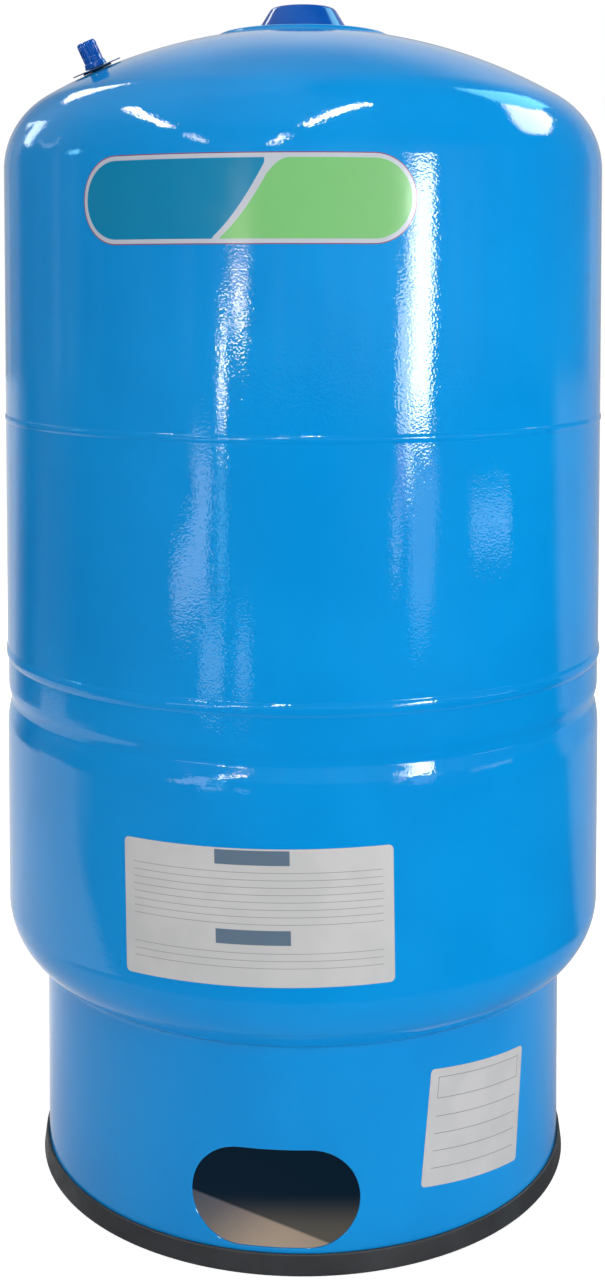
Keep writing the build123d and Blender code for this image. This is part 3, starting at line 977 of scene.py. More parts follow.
    def shell(self, profile: Profile, node: str, seed: int) -> None:
        """Turns one shell and hands it over.

        Args:
            profile: Its closed section.
            node: The node that it stands for.
            seed: Seed of its unevenness.
        """
        made = profile.turn(
            f"{node}_enamelled", self.finishes.get(ENAMEL), self.tools, self.segments, self.ripple,
            self.wave, seed,
        )
        hand_over(made, "tank", "blue_enamel", node)

    def build(self) -> None:
        """Makes the three shells and hands them over."""
        upper_crest = (self.body_r + self.upper_bead - self.ripple[0], self.upper_seam)
        lower_crest = (self.body_r + self.lower_bead - self.ripple[0], self.lower_seam)
        bore = self.body_r - self.wall

        upper = Profile()
        toe = self.upper_seam + self.upper_bead_half
        self.bead(upper, upper_crest, (self.body_r, toe), True)
        upper.points += self.dome_run(0, toe + 0.05, 26).points
        upper.back_along(self.dome_run(self.wall, self.upper_seam, 10))
        self.shell(upper, "upper_shell", 3)

        middle = Profile()
        low_toe = self.lower_seam + self.lower_bead_half
        high_toe = self.upper_seam - self.upper_bead_half
        self.bead(middle, lower_crest, (self.body_r, low_toe), True)
        middle.to(self.body_r, low_toe + 0.5).to(self.body_r, high_toe - 0.5, 26, sheet=1.0)
        self.bead(middle, upper_crest, (self.body_r, high_toe), False)
        middle.to(bore, self.upper_seam).to(bore, self.lower_seam, 6, sheet=1.0)
        self.shell(middle, "middle_shell", 4)

        lower = Profile()
        foot = (self.body_r - self.neck_in, self.lower_seam - self.lower_bead_half - self.neck_in)
        self.bead(lower, lower_crest, foot, True)
        lower.points += self.lower_run(0, foot[1] - 0.05, 24).points
        lower.back_along(self.lower_run(self.wall, self.lower_seam, 9))
        self.shell(lower, "lower_shell", 5)


@dataclass
class Stand:
    """The rolled skirt with its pipe opening, and the rubber strip on its lower edge."""

    tools: Tools
    finishes: Finishes
    vessel: Vessel
    skirt_r: float = 174.5
    wall: float = 1.5
    weld: float = 2.6
    opening_azimuth: float = -5.6
    opening: tuple[float, float, float] = (101.0, 59.5, 29.5)
    opening_h: float = 44.9
    foot_h: float = 3.0
    foot_top: float = 12.5
    leg: float = 1.9
    flare: float = 1.5
    grip: float = 0.1
    seat: float = 0.03
    columns: int = 256
    patch_columns: int = 18
    patch_rows: int = 24
    patch_top: float = 100.0

    def outline(self, across: float, up: float, grow_by: float) -> Point:
        """Finds the opening's edge in a direction from its middle.

        Args:
            across: Direction's part along the wall.
            up: Direction's part upwards.
            grow_by: Distance that the outline is moved out by.

        Returns:
            The edge point, across and up from the middle.
        """
        half_w, half_h = self.opening[0] / 2 + grow_by, self.opening[1] / 2 + grow_by
        corner = self.opening[2] + grow_by
        length = hypot(across, up)
        dx, dy = abs(across) / length, abs(up) / length
        low, high = 0.0, half_w + half_h
        for _ in range(40):
            middle = (low + high) / 2
            qx, qy = middle * dx - half_w + corner, middle * dy - half_h + corner
            outside = hypot(max(qx, 0), max(qy, 0)) + min(max(qx, qy), 0) - corner
            low, high = (low, middle) if outside > 0 else (middle, high)
        return (across / length * low, up / length * low)

    def on_wall(self, radius: float, across: float, up: float) -> Vector:
        """Gives a point of the wall by its distance across and up from the opening's middle."""
        a = radians(self.opening_azimuth) + asin(across / radius)
        return Vector((radius * sin(a), -radius * cos(a), up + self.opening_h))

    def skirt_rows(self) -> tuple[list[Point], int, int]:
        """Draws the skirt's closed section.

        Returns:
            The section's points, and the numbers of the first patch row outside and inside.
        """
        bore, edge, cuts = self.skirt_r - self.wall, 0.3, 8
        start, top = self.foot_h + edge, self.patch_top
        heights = [start + (top - start) * i / self.patch_rows for i in range(self.patch_rows + 1)]
        rho = self.vessel.crown_r + self.seat
        rise = self.vessel.bowl_centre
        toe_r = self.skirt_r + self.weld
        toe = (toe_r, rise - sqrt(rho**2 - toe_r**2))
        seat = (bore, rise - sqrt(rho**2 - bore**2))
        foot = (self.skirt_r, seat[1] - self.weld)
        bow = (self.skirt_r + 0.35, toe[1] - 1.2)
        rows: list[Point] = [(self.skirt_r - edge, self.foot_h)]
        rows += [(self.skirt_r, h) for h in heights]
        rows += [(self.skirt_r, top + (foot[1] - top) * i / cuts) for i in range(1, cuts + 1)]
        for t in ((i + 1) / cuts for i in range(cuts)):
            rows.append(tuple(
                (1 - t) ** 2 * foot[k] + 2 * t * (1 - t) * bow[k] + t * t * toe[k] for k in (0, 1)
            ))
        rows.append(seat)
        rows += [(bore, seat[1] + (top - seat[1]) * i / 4) for i in range(1, 4)]
        inside = len(rows)
        rows += [(bore, h) for h in reversed(heights)]
        rows.append((bore + edge, self.foot_h))
        return rows, 1, inside

    def rings(self, border: list[Point]) -> list[list[Vector]]:
        """Draws the rings of points from the patch's outer border over the opening's lip to its inner one.

        Args:
            border: The patch's border, across and up from the opening's middle.

        Returns:
            The rings.
        """
        # Shares of the way from the border to the opening.
        shares = (0.0, 0.25, 0.5, 0.7, 0.85, 0.95)
        # How far each of the lip's rings stands back from the opening, and how deep it lies.
        lip = (
            (0.6, 0.0), (0.25, 0.1), (0.05, 0.3), (0.0, 0.6),
            (0.0, 0.9), (0.05, 1.2), (0.25, 1.4), (0.6, 1.5),
        )
        reach = lip[0][0]

        def wall_ring(radius: float, share: float) -> list[Vector]:
            """Gives the ring at a share of the way from the border to the opening."""
            ring = []
            for x, y in border:
                edge = self.outline(x, y, reach)
                wide = radius * sin(asin(x / self.skirt_r))
                ring.append(self.on_wall(radius, wide + (edge[0] - wide) * share, y + (edge[1] - y) * share))
            return ring

        over = [
            [self.on_wall(self.skirt_r - depth, *self.outline(x, y, grown)) for x, y in border]
            for grown, depth in lip
        ]
        outside = [wall_ring(self.skirt_r, share) for share in shares]
        inside = [wall_ring(self.skirt_r - self.wall, share) for share in reversed(shares)]
        return outside + over + inside

    def skirt(self) -> Any:
        """Makes the skirt, with the wall's grid fitted round the opening.

        Returns:
            The piece.
        """
        rows, outer, inner = self.skirt_rows()
        count, n = len(rows), self.patch_rows
        points: list[Vector] = []
        faces: list[tuple[int, ...]] = []
        for c in range(self.columns):
            a = radians(self.opening_azimuth) + 2 * pi * c / self.columns
            points += [Vector((r * sin(a), -r * cos(a), z)) for r, z in rows]
            c2 = (c + 1) % self.columns
            in_patch = max(min(i, self.columns - i) for i in (c, c2)) <= self.patch_columns
            for k in range(count):
                if in_patch and (outer <= k < outer + n or inner <= k < inner + n):
                    continue
                k2 = (k + 1) % count
                faces.append((c * count + k, c2 * count + k, c2 * count + k2, c * count + k2))
        border = self.patch_border(rows, outer)
        base, around = len(points), len(border)
        rings = self.rings(border)
        points += [point for ring in rings for point in ring]
        for k in range(len(rings) - 1):
            a, b = base + k * around, base + (k + 1) * around
            for i, i2 in ((i, (i + 1) % around) for i in range(around)):
                faces.append((a + i, a + i2, b + i2, b + i))
        made = link_mesh("base_skirt_enamelled", points, faces)
        made.data.materials.append(self.finishes.get(ENAMEL))
        return clean(made)

    def patch_border(self, rows: list[Point], first: int) -> list[Point]:
        """Lists the grid points round the patch, across and up from the opening's middle.

        Args:
            rows: The section's points.
            first: Number of the patch's lowest row.

        Returns:
            The points, anticlockwise from the lower left.
        """
        step = 2 * pi / self.columns
        p, n = self.patch_columns, self.patch_rows
        heights = [rows[first + k][1] - self.opening_h for k in range(n + 1)]
        across = [self.skirt_r * sin(step * c) for c in range(-p, p + 1)]
        border = [(x, heights[0]) for x in across[:-1]]
        border += [(across[-1], h) for h in heights[:-1]]
        border += [(x, heights[-1]) for x in reversed(across[1:])]
        return border + [(across[0], h) for h in reversed(heights[1:])]

    def foot(self) -> Any:
        """Makes the rubber strip.

        Returns:
            The piece.
        """
        inner, outer = self.skirt_r - self.wall - self.grip, self.skirt_r + self.grip
        toe, brow = outer + self.leg + self.flare, outer + self.leg
        heel = inner - self.leg
        profile = Profile().to(outer, self.foot_h).to(outer, self.foot_top - 0.5, 3)
        profile.arc((outer + 0.5, self.foot_top - 0.5), 0.5, 180, 90, 4)
        profile.arc((brow - 0.8, self.foot_top - 0.8), 0.8, 90, 8, 6)
        profile.to(toe - 0.1, 1.0, 8).arc((toe - 0.9, 0.8), 0.8, 5, -90, 6)
        profile.to(heel + 0.8, 0.0, 4).arc((heel + 0.8, 0.8), 0.8, -90, -180, 5)
        profile.to(heel, self.foot_top - 0.8, 3).arc((heel + 0.8, self.foot_top - 0.8), 0.8, 180, 90, 5)
        profile.to(inner, self.foot_top).to(inner, self.foot_h, 3)
        rubber = self.finishes.get(FOOT_RUBBER)
        return profile.turn("base_ring_rubber", rubber, self.tools, self.columns)

    def build(self) -> None:
        """Makes both pieces and hands them over."""
        hand_over(self.skirt(), "tank", "blue_enamel", "base_skirt")
        hand_over(self.foot(), "tank", "foot_rubber", "base_ring")


@dataclass
class CrownCap:
    """The moulded cap that is pushed over the boss in the middle of the dome."""

    tools: Tools
    finishes: Finishes
    vessel: Vessel
    base_r: float = 30.2
    top_r: float = 21.3
    height: float = 14.8
    brow: float = 5.0
    wall: float = 1.8
    boss_r: float = 19.0
    push_gap: float = 0.15
    sleeve_wall: float = 1.4
    rim_gap: float = 0.3
    ribs: int = 6
    rib_rise: float = 2.0

    def build(self) -> None:
        """Makes the cap with its sleeve and ribs, and hands it over."""
        v = self.vessel
        pad_r, inside_r = v.crown_r + v.pad_step, self.base_r - self.wall
        rim = v.dome_centre + sqrt(pad_r**2 - inside_r**2) + self.rim_gap
        top = rim + self.height
        ceiling = top - self.wall
        lean = degrees(atan2(self.base_r - self.top_r, self.height))
        inset = self.brow * tan(radians(45 - lean / 2))
        centre = (self.top_r - inset, top - self.brow)
        profile = Profile().to(self.base_r - 0.35, rim).to(self.base_r, rim + 0.3)
        shoulder = (centre[0] + self.brow * cos(radians(lean)), centre[1] + self.brow * sin(radians(lean)))
        profile.to(*shoulder, 10).arc(centre, self.brow, lean, 90, 12).to(0, top, 8)
        sleeve_in, sleeve_out = self.boss_r + self.push_gap, self.boss_r + self.push_gap + self.sleeve_wall
        profile.to(0, ceiling).to(sleeve_in, ceiling, 4).to(sleeve_in, v.pad_top + 0.3, 3)
        profile.to(sleeve_out, v.pad_top + 0.3).to(sleeve_out, ceiling - 0.6, 3)
        inner_r = self.top_r - self.wall
        profile.to(sleeve_out + 0.3, ceiling - 0.3).to(inner_r - 0.6, ceiling - 1.2)
        profile.to(inside_r, rim + 0.3, 6).to(inside_r + 0.3, rim)
        plastic = self.finishes.get(CAP_PLASTIC)
        cap = profile.turn("top_cap_moulded", plastic, self.tools, 128)
        low, high = rim + self.rib_rise, ceiling - 1.0
        reach = inside_r - (self.base_r - self.top_r) * self.rib_rise / self.height
        rib = box_mesh(
            "top_cap_rib", (sleeve_out - 0.3, reach), self.sleeve_wall,
            (low, high), self.top_r - self.wall,
        )
        ribs = grow(rib, self.tools.radial, {"Count": self.ribs, "Finish": plastic})
        made = join(cap, clean(ribs))
        made.data.shade_smooth()
        made.data.set_sharp_from_angle(angle=radians(35))
        hand_over(made, "top_cap", "cap_plastic", "top_cap")


def box_mesh(name: str, reach: Point, width: float, heights: Point, upper_reach: float) -> Any:
    """Makes a rib along +X whose outer end slopes.

    Args:
        name: Name of the object.
        reach: Inner and outer distance from the axis.
        width: Size along Y.
        heights: Lowest and highest Z.
        upper_reach: Outer distance at the top.

    Returns:
        The object.
    """
    near, far = reach
    half = width / 2
    points = [
        (x, y, z)
        for z, outer in zip(heights, (far, upper_reach))
        for x, y in ((near, -half), (outer, -half), (outer, half), (near, half))
    ]
    faces = [(3, 2, 1, 0), (4, 5, 6, 7), (0, 1, 5, 4), (1, 2, 6, 5), (2, 3, 7, 6), (3, 0, 4, 7)]
    return link_mesh(name, points, faces)


@dataclass
class AirValve:
    """The air valve on the dome: stem, nut, washer, gasket and screw cap."""

    tools: Tools
    finishes: Finishes
    vessel: Vessel
    azimuth: float = -67.7
    reach: float = 143.1
    stem_r: float = 3.85
    stem_bore: float = 2.6
    throat: float = 1.4
    stem_top: float = 17.0
    head_r: float = 8.0
    head_low: float = -5.6
    head_top: float = -3.1
    gasket_r: float = 9.5
    gasket_top: float = 1.2
    washer_r: float = 16.4
    washer_top: float = 2.0
    hex_flats: float = 10.0
    hex_top: float = 5.2
    thread_pitch: float = 0.79
    core_top: float = 15.8
    core_low: float = 9.8
    pin_r: float = 0.5
    pin_top: float = 16.7
    pin_low: float = 5.7
    pin_collar: Point = (8.3, 9.5)
    pin_collar_r: float = 1.1
    cap_low: float = 2.3
    cap_room: float = 5.5
    cap_room_r: float = 6.0
    cap_skirt: Point = (7.4, 6.8)
    cap_top: float = 19.6
    cap_head_r: float = 6.3
    cap_head: float = 10.0
    cap_bore: float = 3.95
    cap_ceiling: float = 18.1
    grip_ribs: int = 24
    grip_r: float = 0.28

    @property
    def place(self) -> Matrix:
        """Matrix from the valve's own frame, in metres, to the tank's."""
        v = self.vessel
        lean, a = asin(self.reach / v.crown_r), radians(self.azimuth)
        out = Vector((sin(a), -cos(a), 0))
        normal = Vector((sin(lean) * out.x, sin(lean) * out.y, cos(lean)))
        side = Vector((cos(a), sin(a), 0))
        up = normal.cross(side)
        origin = out * self.reach + Vector((0, 0, v.dome_centre + v.crown_r * cos(lean)))
        turn = Matrix((side, up, normal)).transposed().to_4x4()
        return Matrix.Translation(origin * MM) @ turn

    def brass(self) -> bpy.types.Material:
        """Gives turned brass whose tool lines run round the valve's axis."""
        # Free cutting brass, turned: warm yellow metal with fine rings and a slight tarnish.
        where = self.place
        axis = (where.translation, Vector(where.to_euler("XYZ")))
        return self.finishes.get(Finish(
            "turned free cutting brass", "#C9A45C", "#B38E4A", patch=3.0, roughness=0.26, spread=0.06,
            metallic=1.0, grain=0.3, grain_depth=0.003, lay=Lay.ROUND, line=0.18, line_depth=0.008, axis=axis,
        ))

    @property
    def hole_r(self) -> float:
        """Radius of the hole in what sits on the stem."""
        return self.stem_r + 0.1

    def stem(self) -> Any:
        """Makes the stem with its head and its outside thread.

        Returns:
            The piece.
        """
        core = self.stem_r - 0.22
        profile = Profile().to(self.throat, self.head_low).to(self.head_r - 0.4, self.head_low, 2)
        profile.to(self.head_r, self.head_low + 0.4).to(self.head_r, self.head_top - 0.3)
        profile.to(self.head_r - 0.3, self.head_top).to(self.stem_r, self.head_top, 2)
        profile.to(self.stem_r, self.hex_top - 3.0, 2).to(core, self.hex_top - 2.8)
        profile.to(core, self.stem_top - 0.8, 6).to(core - 0.5, self.stem_top)
        profile.to(self.stem_bore + 0.25, self.stem_top).to(self.stem_bore, self.stem_top - 0.3)
        profile.to(self.stem_bore, self.core_low, 4).to(self.throat, self.core_low)
        made = profile.turn("valve_stem_brass", self.brass(), self.tools, 64)
        turns = (self.stem_top - 1.2 - self.hex_top + 2.6) / self.thread_pitch
        seed = link_mesh("valve_stem_thread", [(0, 0, 0)], [])
        values = {
            "Radius": (core - 0.05) * MM,
            "Pitch": self.thread_pitch * MM,
            "Turns": turns,
            "Ridge": 0.27 * MM,
            "Steps": 24,
            "Finish": self.brass(),
        }
        thread = clean(grow(seed, self.tools.thread, values))
        thread.data.transform(Matrix.Translation((0, 0, (self.hex_top - 2.6) * MM)))
        return join(made, thread)

    def hex_nut(self) -> Any:
        """Makes the hexagonal nut with its corners chamfered.

        Returns:
            The piece.
        """
        side = self.hex_flats / 2
        corner = side / cos(radians(30))
        chamfer = 0.45
        rows = (
            (self.washer_top, side * 0.98), (self.washer_top + chamfer, corner),
            (self.hex_top - chamfer, corner), (self.hex_top, side * 0.98),
        )
        around, hole = 48, self.hole_r
        points, faces = [], []
        for height, limit in rows:
            for i in range(around):
                a = 2 * pi * i / around
                off = (a + pi / 6) % (pi / 3) - pi / 6
                r = min(side / cos(off), limit)
                points.append((r * cos(a), r * sin(a), height))
        for height in (self.hex_top, self.washer_top):
            points += [
                (hole * cos(2 * pi * i / around), hole * sin(2 * pi * i / around), height)
                for i in range(around)
            ]
        for k in range(6):
            for i in range(around):
                i2, a, b = (i + 1) % around, k * around, (k + 1) % 6 * around
                faces.append((a + i, a + i2, b + i2, b + i))
        made = link_mesh("valve_nut_brass", points, faces)
        made.data.materials.append(self.brass())
        return clean(made, 25)

    def screw_cap(self) -> Any:
        """Makes the screw cap with its ribbed grip.

        Returns:
            The piece.
        """
        head_low = self.cap_top - self.cap_head
        skin = self.cap_head_r - self.grip_r
        foot, brow = self.cap_skirt
        rise = self.cap_room + brow - self.cap_head_r
        profile = Profile().to(self.cap_room_r + 0.15, self.cap_low).to(foot - 0.25, self.cap_low, 2)
        profile.to(foot, self.cap_low + 0.25).to(brow, self.cap_room - 0.2, 4).to(brow - 0.1, self.cap_room)
        profile.to(self.cap_head_r, rise).to(self.cap_head_r, head_low - 0.2, 3)
        profile.to(self.cap_head_r - 0.1, head_low).to(skin, head_low + 0.25)
        profile.to(skin, self.cap_top - 1.3, 6)
        profile.arc((skin - 1.2, self.cap_top - 1.2), 1.2, 0, 90, 7).to(0, self.cap_top, 4)
        profile.to(0, self.cap_ceiling).to(self.cap_bore, self.cap_ceiling, 2)
        profile.to(self.cap_bore, self.cap_room + 0.3, 5).to(self.cap_bore + 0.3, self.cap_room)
        profile.to(self.cap_room_r, self.cap_room, 2).to(self.cap_room_r, self.cap_low + 0.15, 3)
        plastic = self.finishes.get(CAP_PLASTIC)
        made = profile.turn("valve_cap_moulded", plastic, self.tools, 96)
        low, high = head_low + 0.5, self.cap_top - 1.5
        r, around = self.grip_r, 8
        points = [
            (skin + r * cos(2 * pi * i / around) - 0.02, r * 1.6 * sin(2 * pi * i / around), z)
            for z in (low, high) for i in range(around)
        ]
        points += [(skin - 0.1, 0, low - 0.35), (skin - 0.1, 0, high + 0.35)]
        faces = [(i, (i + 1) % around, around + (i + 1) % around, around + i) for i in range(around)]
        faces += [((i + 1) % around, i, 2 * around) for i in range(around)]
        faces += [(around + i, around + (i + 1) % around, 2 * around + 1) for i in range(around)]
        rib = link_mesh("valve_cap_rib", points, faces)
        ribs = clean(grow(rib, self.tools.radial, {"Count": self.grip_ribs, "Finish": plastic}), 60)
        return join(made, ribs)

    def gasket(self) -> Any:
        """Makes the rubber gasket, which bulges round its edge.

        Returns:
            The piece.
        """
        low, bulge = 0.03, 0.25
        edge, middle = self.gasket_r - bulge, (self.gasket_top + low) / 2
        profile = Profile().to(self.hole_r, low).to(edge, low, 2)
        profile.arc((edge, middle), self.gasket_top - middle, -90, 90, 6).to(self.hole_r, self.gasket_top, 2)
        # The black rubber gets a painted blue: painted reflection of the blue dome and painted light against
        # the shade under the washer.
        rubber = self.finishes.ink("nitrile rubber with painted blue light", "#10457A", SEAL_RUBBER)
        return profile.turn("valve_gasket_rubber", rubber, self.tools, 72)

    def washer(self) -> Any:
        """Makes the flat washer.

        Returns:
            The piece.
        """
        hole, low, top, r, edge = self.hole_r, self.gasket_top, self.washer_top, self.washer_r, 0.2
        profile = Profile().to(hole, low).to(r - edge, low, 3).to(r, low + edge).to(r, top - edge)
        profile.to(r - edge, top).to(hole, top, 3)
        # The washer's blue is painted reflection and painted light against the shade under the cap.
        return profile.turn("valve_washer_nylon", self.finishes.get(NYLON), self.tools, 96)

    def core(self) -> Any:
        """Makes the valve core that is screwed in the stem.

        Returns:
            The piece.
        """
        wide, hole, top = self.stem_bore - 0.1, self.pin_r + 0.08, self.core_top
        profile = Profile().to(hole, self.core_low).to(wide, self.core_low).to(wide, top - 0.3, 3)
        profile.to(self.stem_bore - 0.4, top).to(1.3, top).to(1.2, top - 0.9).to(hole, top - 0.9)
        return profile.turn("valve_core_brass", self.brass(), self.tools, 40)

    def pin(self) -> Any:
        """Makes the core's pin with its collar.

        Returns:
            The piece.
        """
        r, (low, high), collar_r = self.pin_r, self.pin_collar, self.pin_collar_r
        profile = Profile().to(0, self.pin_low).to(r, self.pin_low).to(r, low, 2).to(collar_r, low)
        profile.to(collar_r, high).to(r, high).to(r, self.pin_top - 0.25, 4)
        profile.to(r - 0.2, self.pin_top).to(0, self.pin_top)
        return profile.turn("valve_pin_brass", self.brass(), self.tools, 24)

    def build(self) -> None:
        """Makes the valve's pieces, sets them in place and hands them over."""
        for make, body, slot, node in (
            (self.stem, "tank", "brass", "valve_stem"),
            (self.hex_nut, "tank", "brass", "valve_nut"),
            (self.gasket, "tank", "seal_rubber", "valve_gasket"),
            (self.washer, "tank", "black_nylon", "valve_washer"),
            (self.screw_cap, "valve_cap", "cap_plastic", "valve_cap"),
            (self.core, "tank", "brass", "valve_core"),
            (self.pin, "valve_pin", "brass", "valve_pin"),
        ):
            made = make()
            made.data.transform(self.place)
            hand_over(made, body, slot, node)


@dataclass
class Sticker:
    """A label's place on the wall."""

    wall_r: float
    azimuth: float
    height: float
    width: float
    tall: float
    corner: float
    tilt: float = 0.0

    def half_height(self, x: float, inset: float = 0.0) -> float:
        """Gives half the label's height at a distance from its middle.

        Args:
            x: Distance along the label.
            inset: Distance in from the edge.

        Returns:
            Half the height there, or 0 outside.
        """
        half_w, half_h = self.width / 2 - inset, self.tall / 2 - inset
        corner = max(self.corner - inset, 0.01)
        over = abs(x) - (half_w - corner)
        if over <= 0:
            return half_h
        if over >= corner:
            return half_h - corner
        return half_h - corner + sqrt(corner**2 - over**2)

    def columns(self, inset: float = 0.0, step: float = COLUMN) -> list[float]:
        """Cuts the label in columns, finer in its round corners.

        Args:
            inset: Distance in from the edge.
            step: Width of a column in the straight part.

        Returns:
            The columns' distances from the middle.
        """
        half_w = self.width / 2 - inset
        corner = max(self.corner - inset, 0.01)
        straight = half_w - corner
        bend = max(6, int(corner * 1.2))
        ends = [straight + corner * sin(pi / 2 * i / bend) for i in range(1, bend + 1)]
        count = max(1, int(2 * straight / step))
        middle = [-straight + 2 * straight * i / count for i in range(count + 1)]
        return [-x for x in reversed(ends)] + middle + ends

    def field(
        self, inset: float = 0.0, low: Callable[[float], float] | None = None,
        high: Callable[[float], float] | None = None, step: float = COLUMN,
    ) -> Flat:
        """Cuts the label's face, or the part of it between two curves.

        Args:
            inset: Distance in from the edge.
            low: Lower curve, if it isn't the label's edge.
            high: Upper curve, if it isn't the label's edge.
            step: Width of a column in the straight part.

        Returns:
            Points and faces of the flat cut-out.
        """
        points: list[Point] = []
        faces: list[tuple[int, ...]] = []
        last = None
        for x in self.columns(inset, step):
            half = self.half_height(x, inset)
            bottom = max(-half, low(x)) if low else -half
            top = min(half, high(x)) if high else half
            if top - bottom < 0.02:
                last = None
                continue
            here = len(points)
            points += [(x, bottom), (x, top)]
            if last is not None:
                faces.append((last, here, here + 1, last + 1))
            last = here
        return points, faces

    def frame(self, outer: float, inner: float) -> Flat:
        """Cuts a border of even width.

        Args:
            outer: Distance of its outside from the edge.
            inner: Distance of its inside from the edge.

        Returns:
            Points and faces of the flat cut-out.
        """
        loops = [self.loop(outer), self.loop(inner)]
        n = len(loops[0])
        faces = [(i, (i + 1) % n, n + (i + 1) % n, n + i) for i in range(n)]
        return loops[0] + loops[1], faces

    def loop(self, inset: float) -> list[Point]:
        """Lists the points of the label's outline, anticlockwise.

        Args:
            inset: Distance in from the edge.

        Returns:
            The points.
        """
        corner = max(self.corner - inset, 0.01)
        cx, cy = self.width / 2 - inset - corner, self.tall / 2 - inset - corner
        bend = 14
        count = max(1, int(2 * cx / COLUMN))
        run: list[Point] = []
        for sx, sy, start in ((1, -1, -90), (1, 1, 0), (-1, 1, 90), (-1, -1, 180)):
            for i in range(bend + 1):
                a = radians(start + 90 * i / bend)
                run.append((sx * cx + corner * cos(a), sy * cy + corner * sin(a)))
            if start in (0, 180):
                y = sy * (cy + corner)
                run += [(sx * cx - sx * 2 * cx * i / count, y) for i in range(1, count)]
        return run


def bar(x: float, y: float, width: float, tall: float) -> Flat:
    """Cuts a straight bar, in columns that can follow a round wall.

    Args:
        x: Its middle along the label.
        y: Its middle up the label.
        width: Its length.
        tall: Its height.

    Returns:
        Points and faces of the flat cut-out.
    """
    count = max(1, int(width / COLUMN))
    points: list[Point] = []
    for i in range(count + 1):
        at = x - width / 2 + width * i / count
        points += [(at, y - tall / 2), (at, y + tall / 2)]
    return points, [(2 * i, 2 * i + 2, 2 * i + 3, 2 * i + 1) for i in range(count)]


def together(*parts: Flat) -> Flat:
    """Puts flat cut-outs together in one."""
    points: list[Point] = []
    faces: list[tuple[int, ...]] = []
    for some, those in parts:
        start = len(points)
        points += some
        faces += [tuple(start + i for i in face) for face in those]
    return points, faces


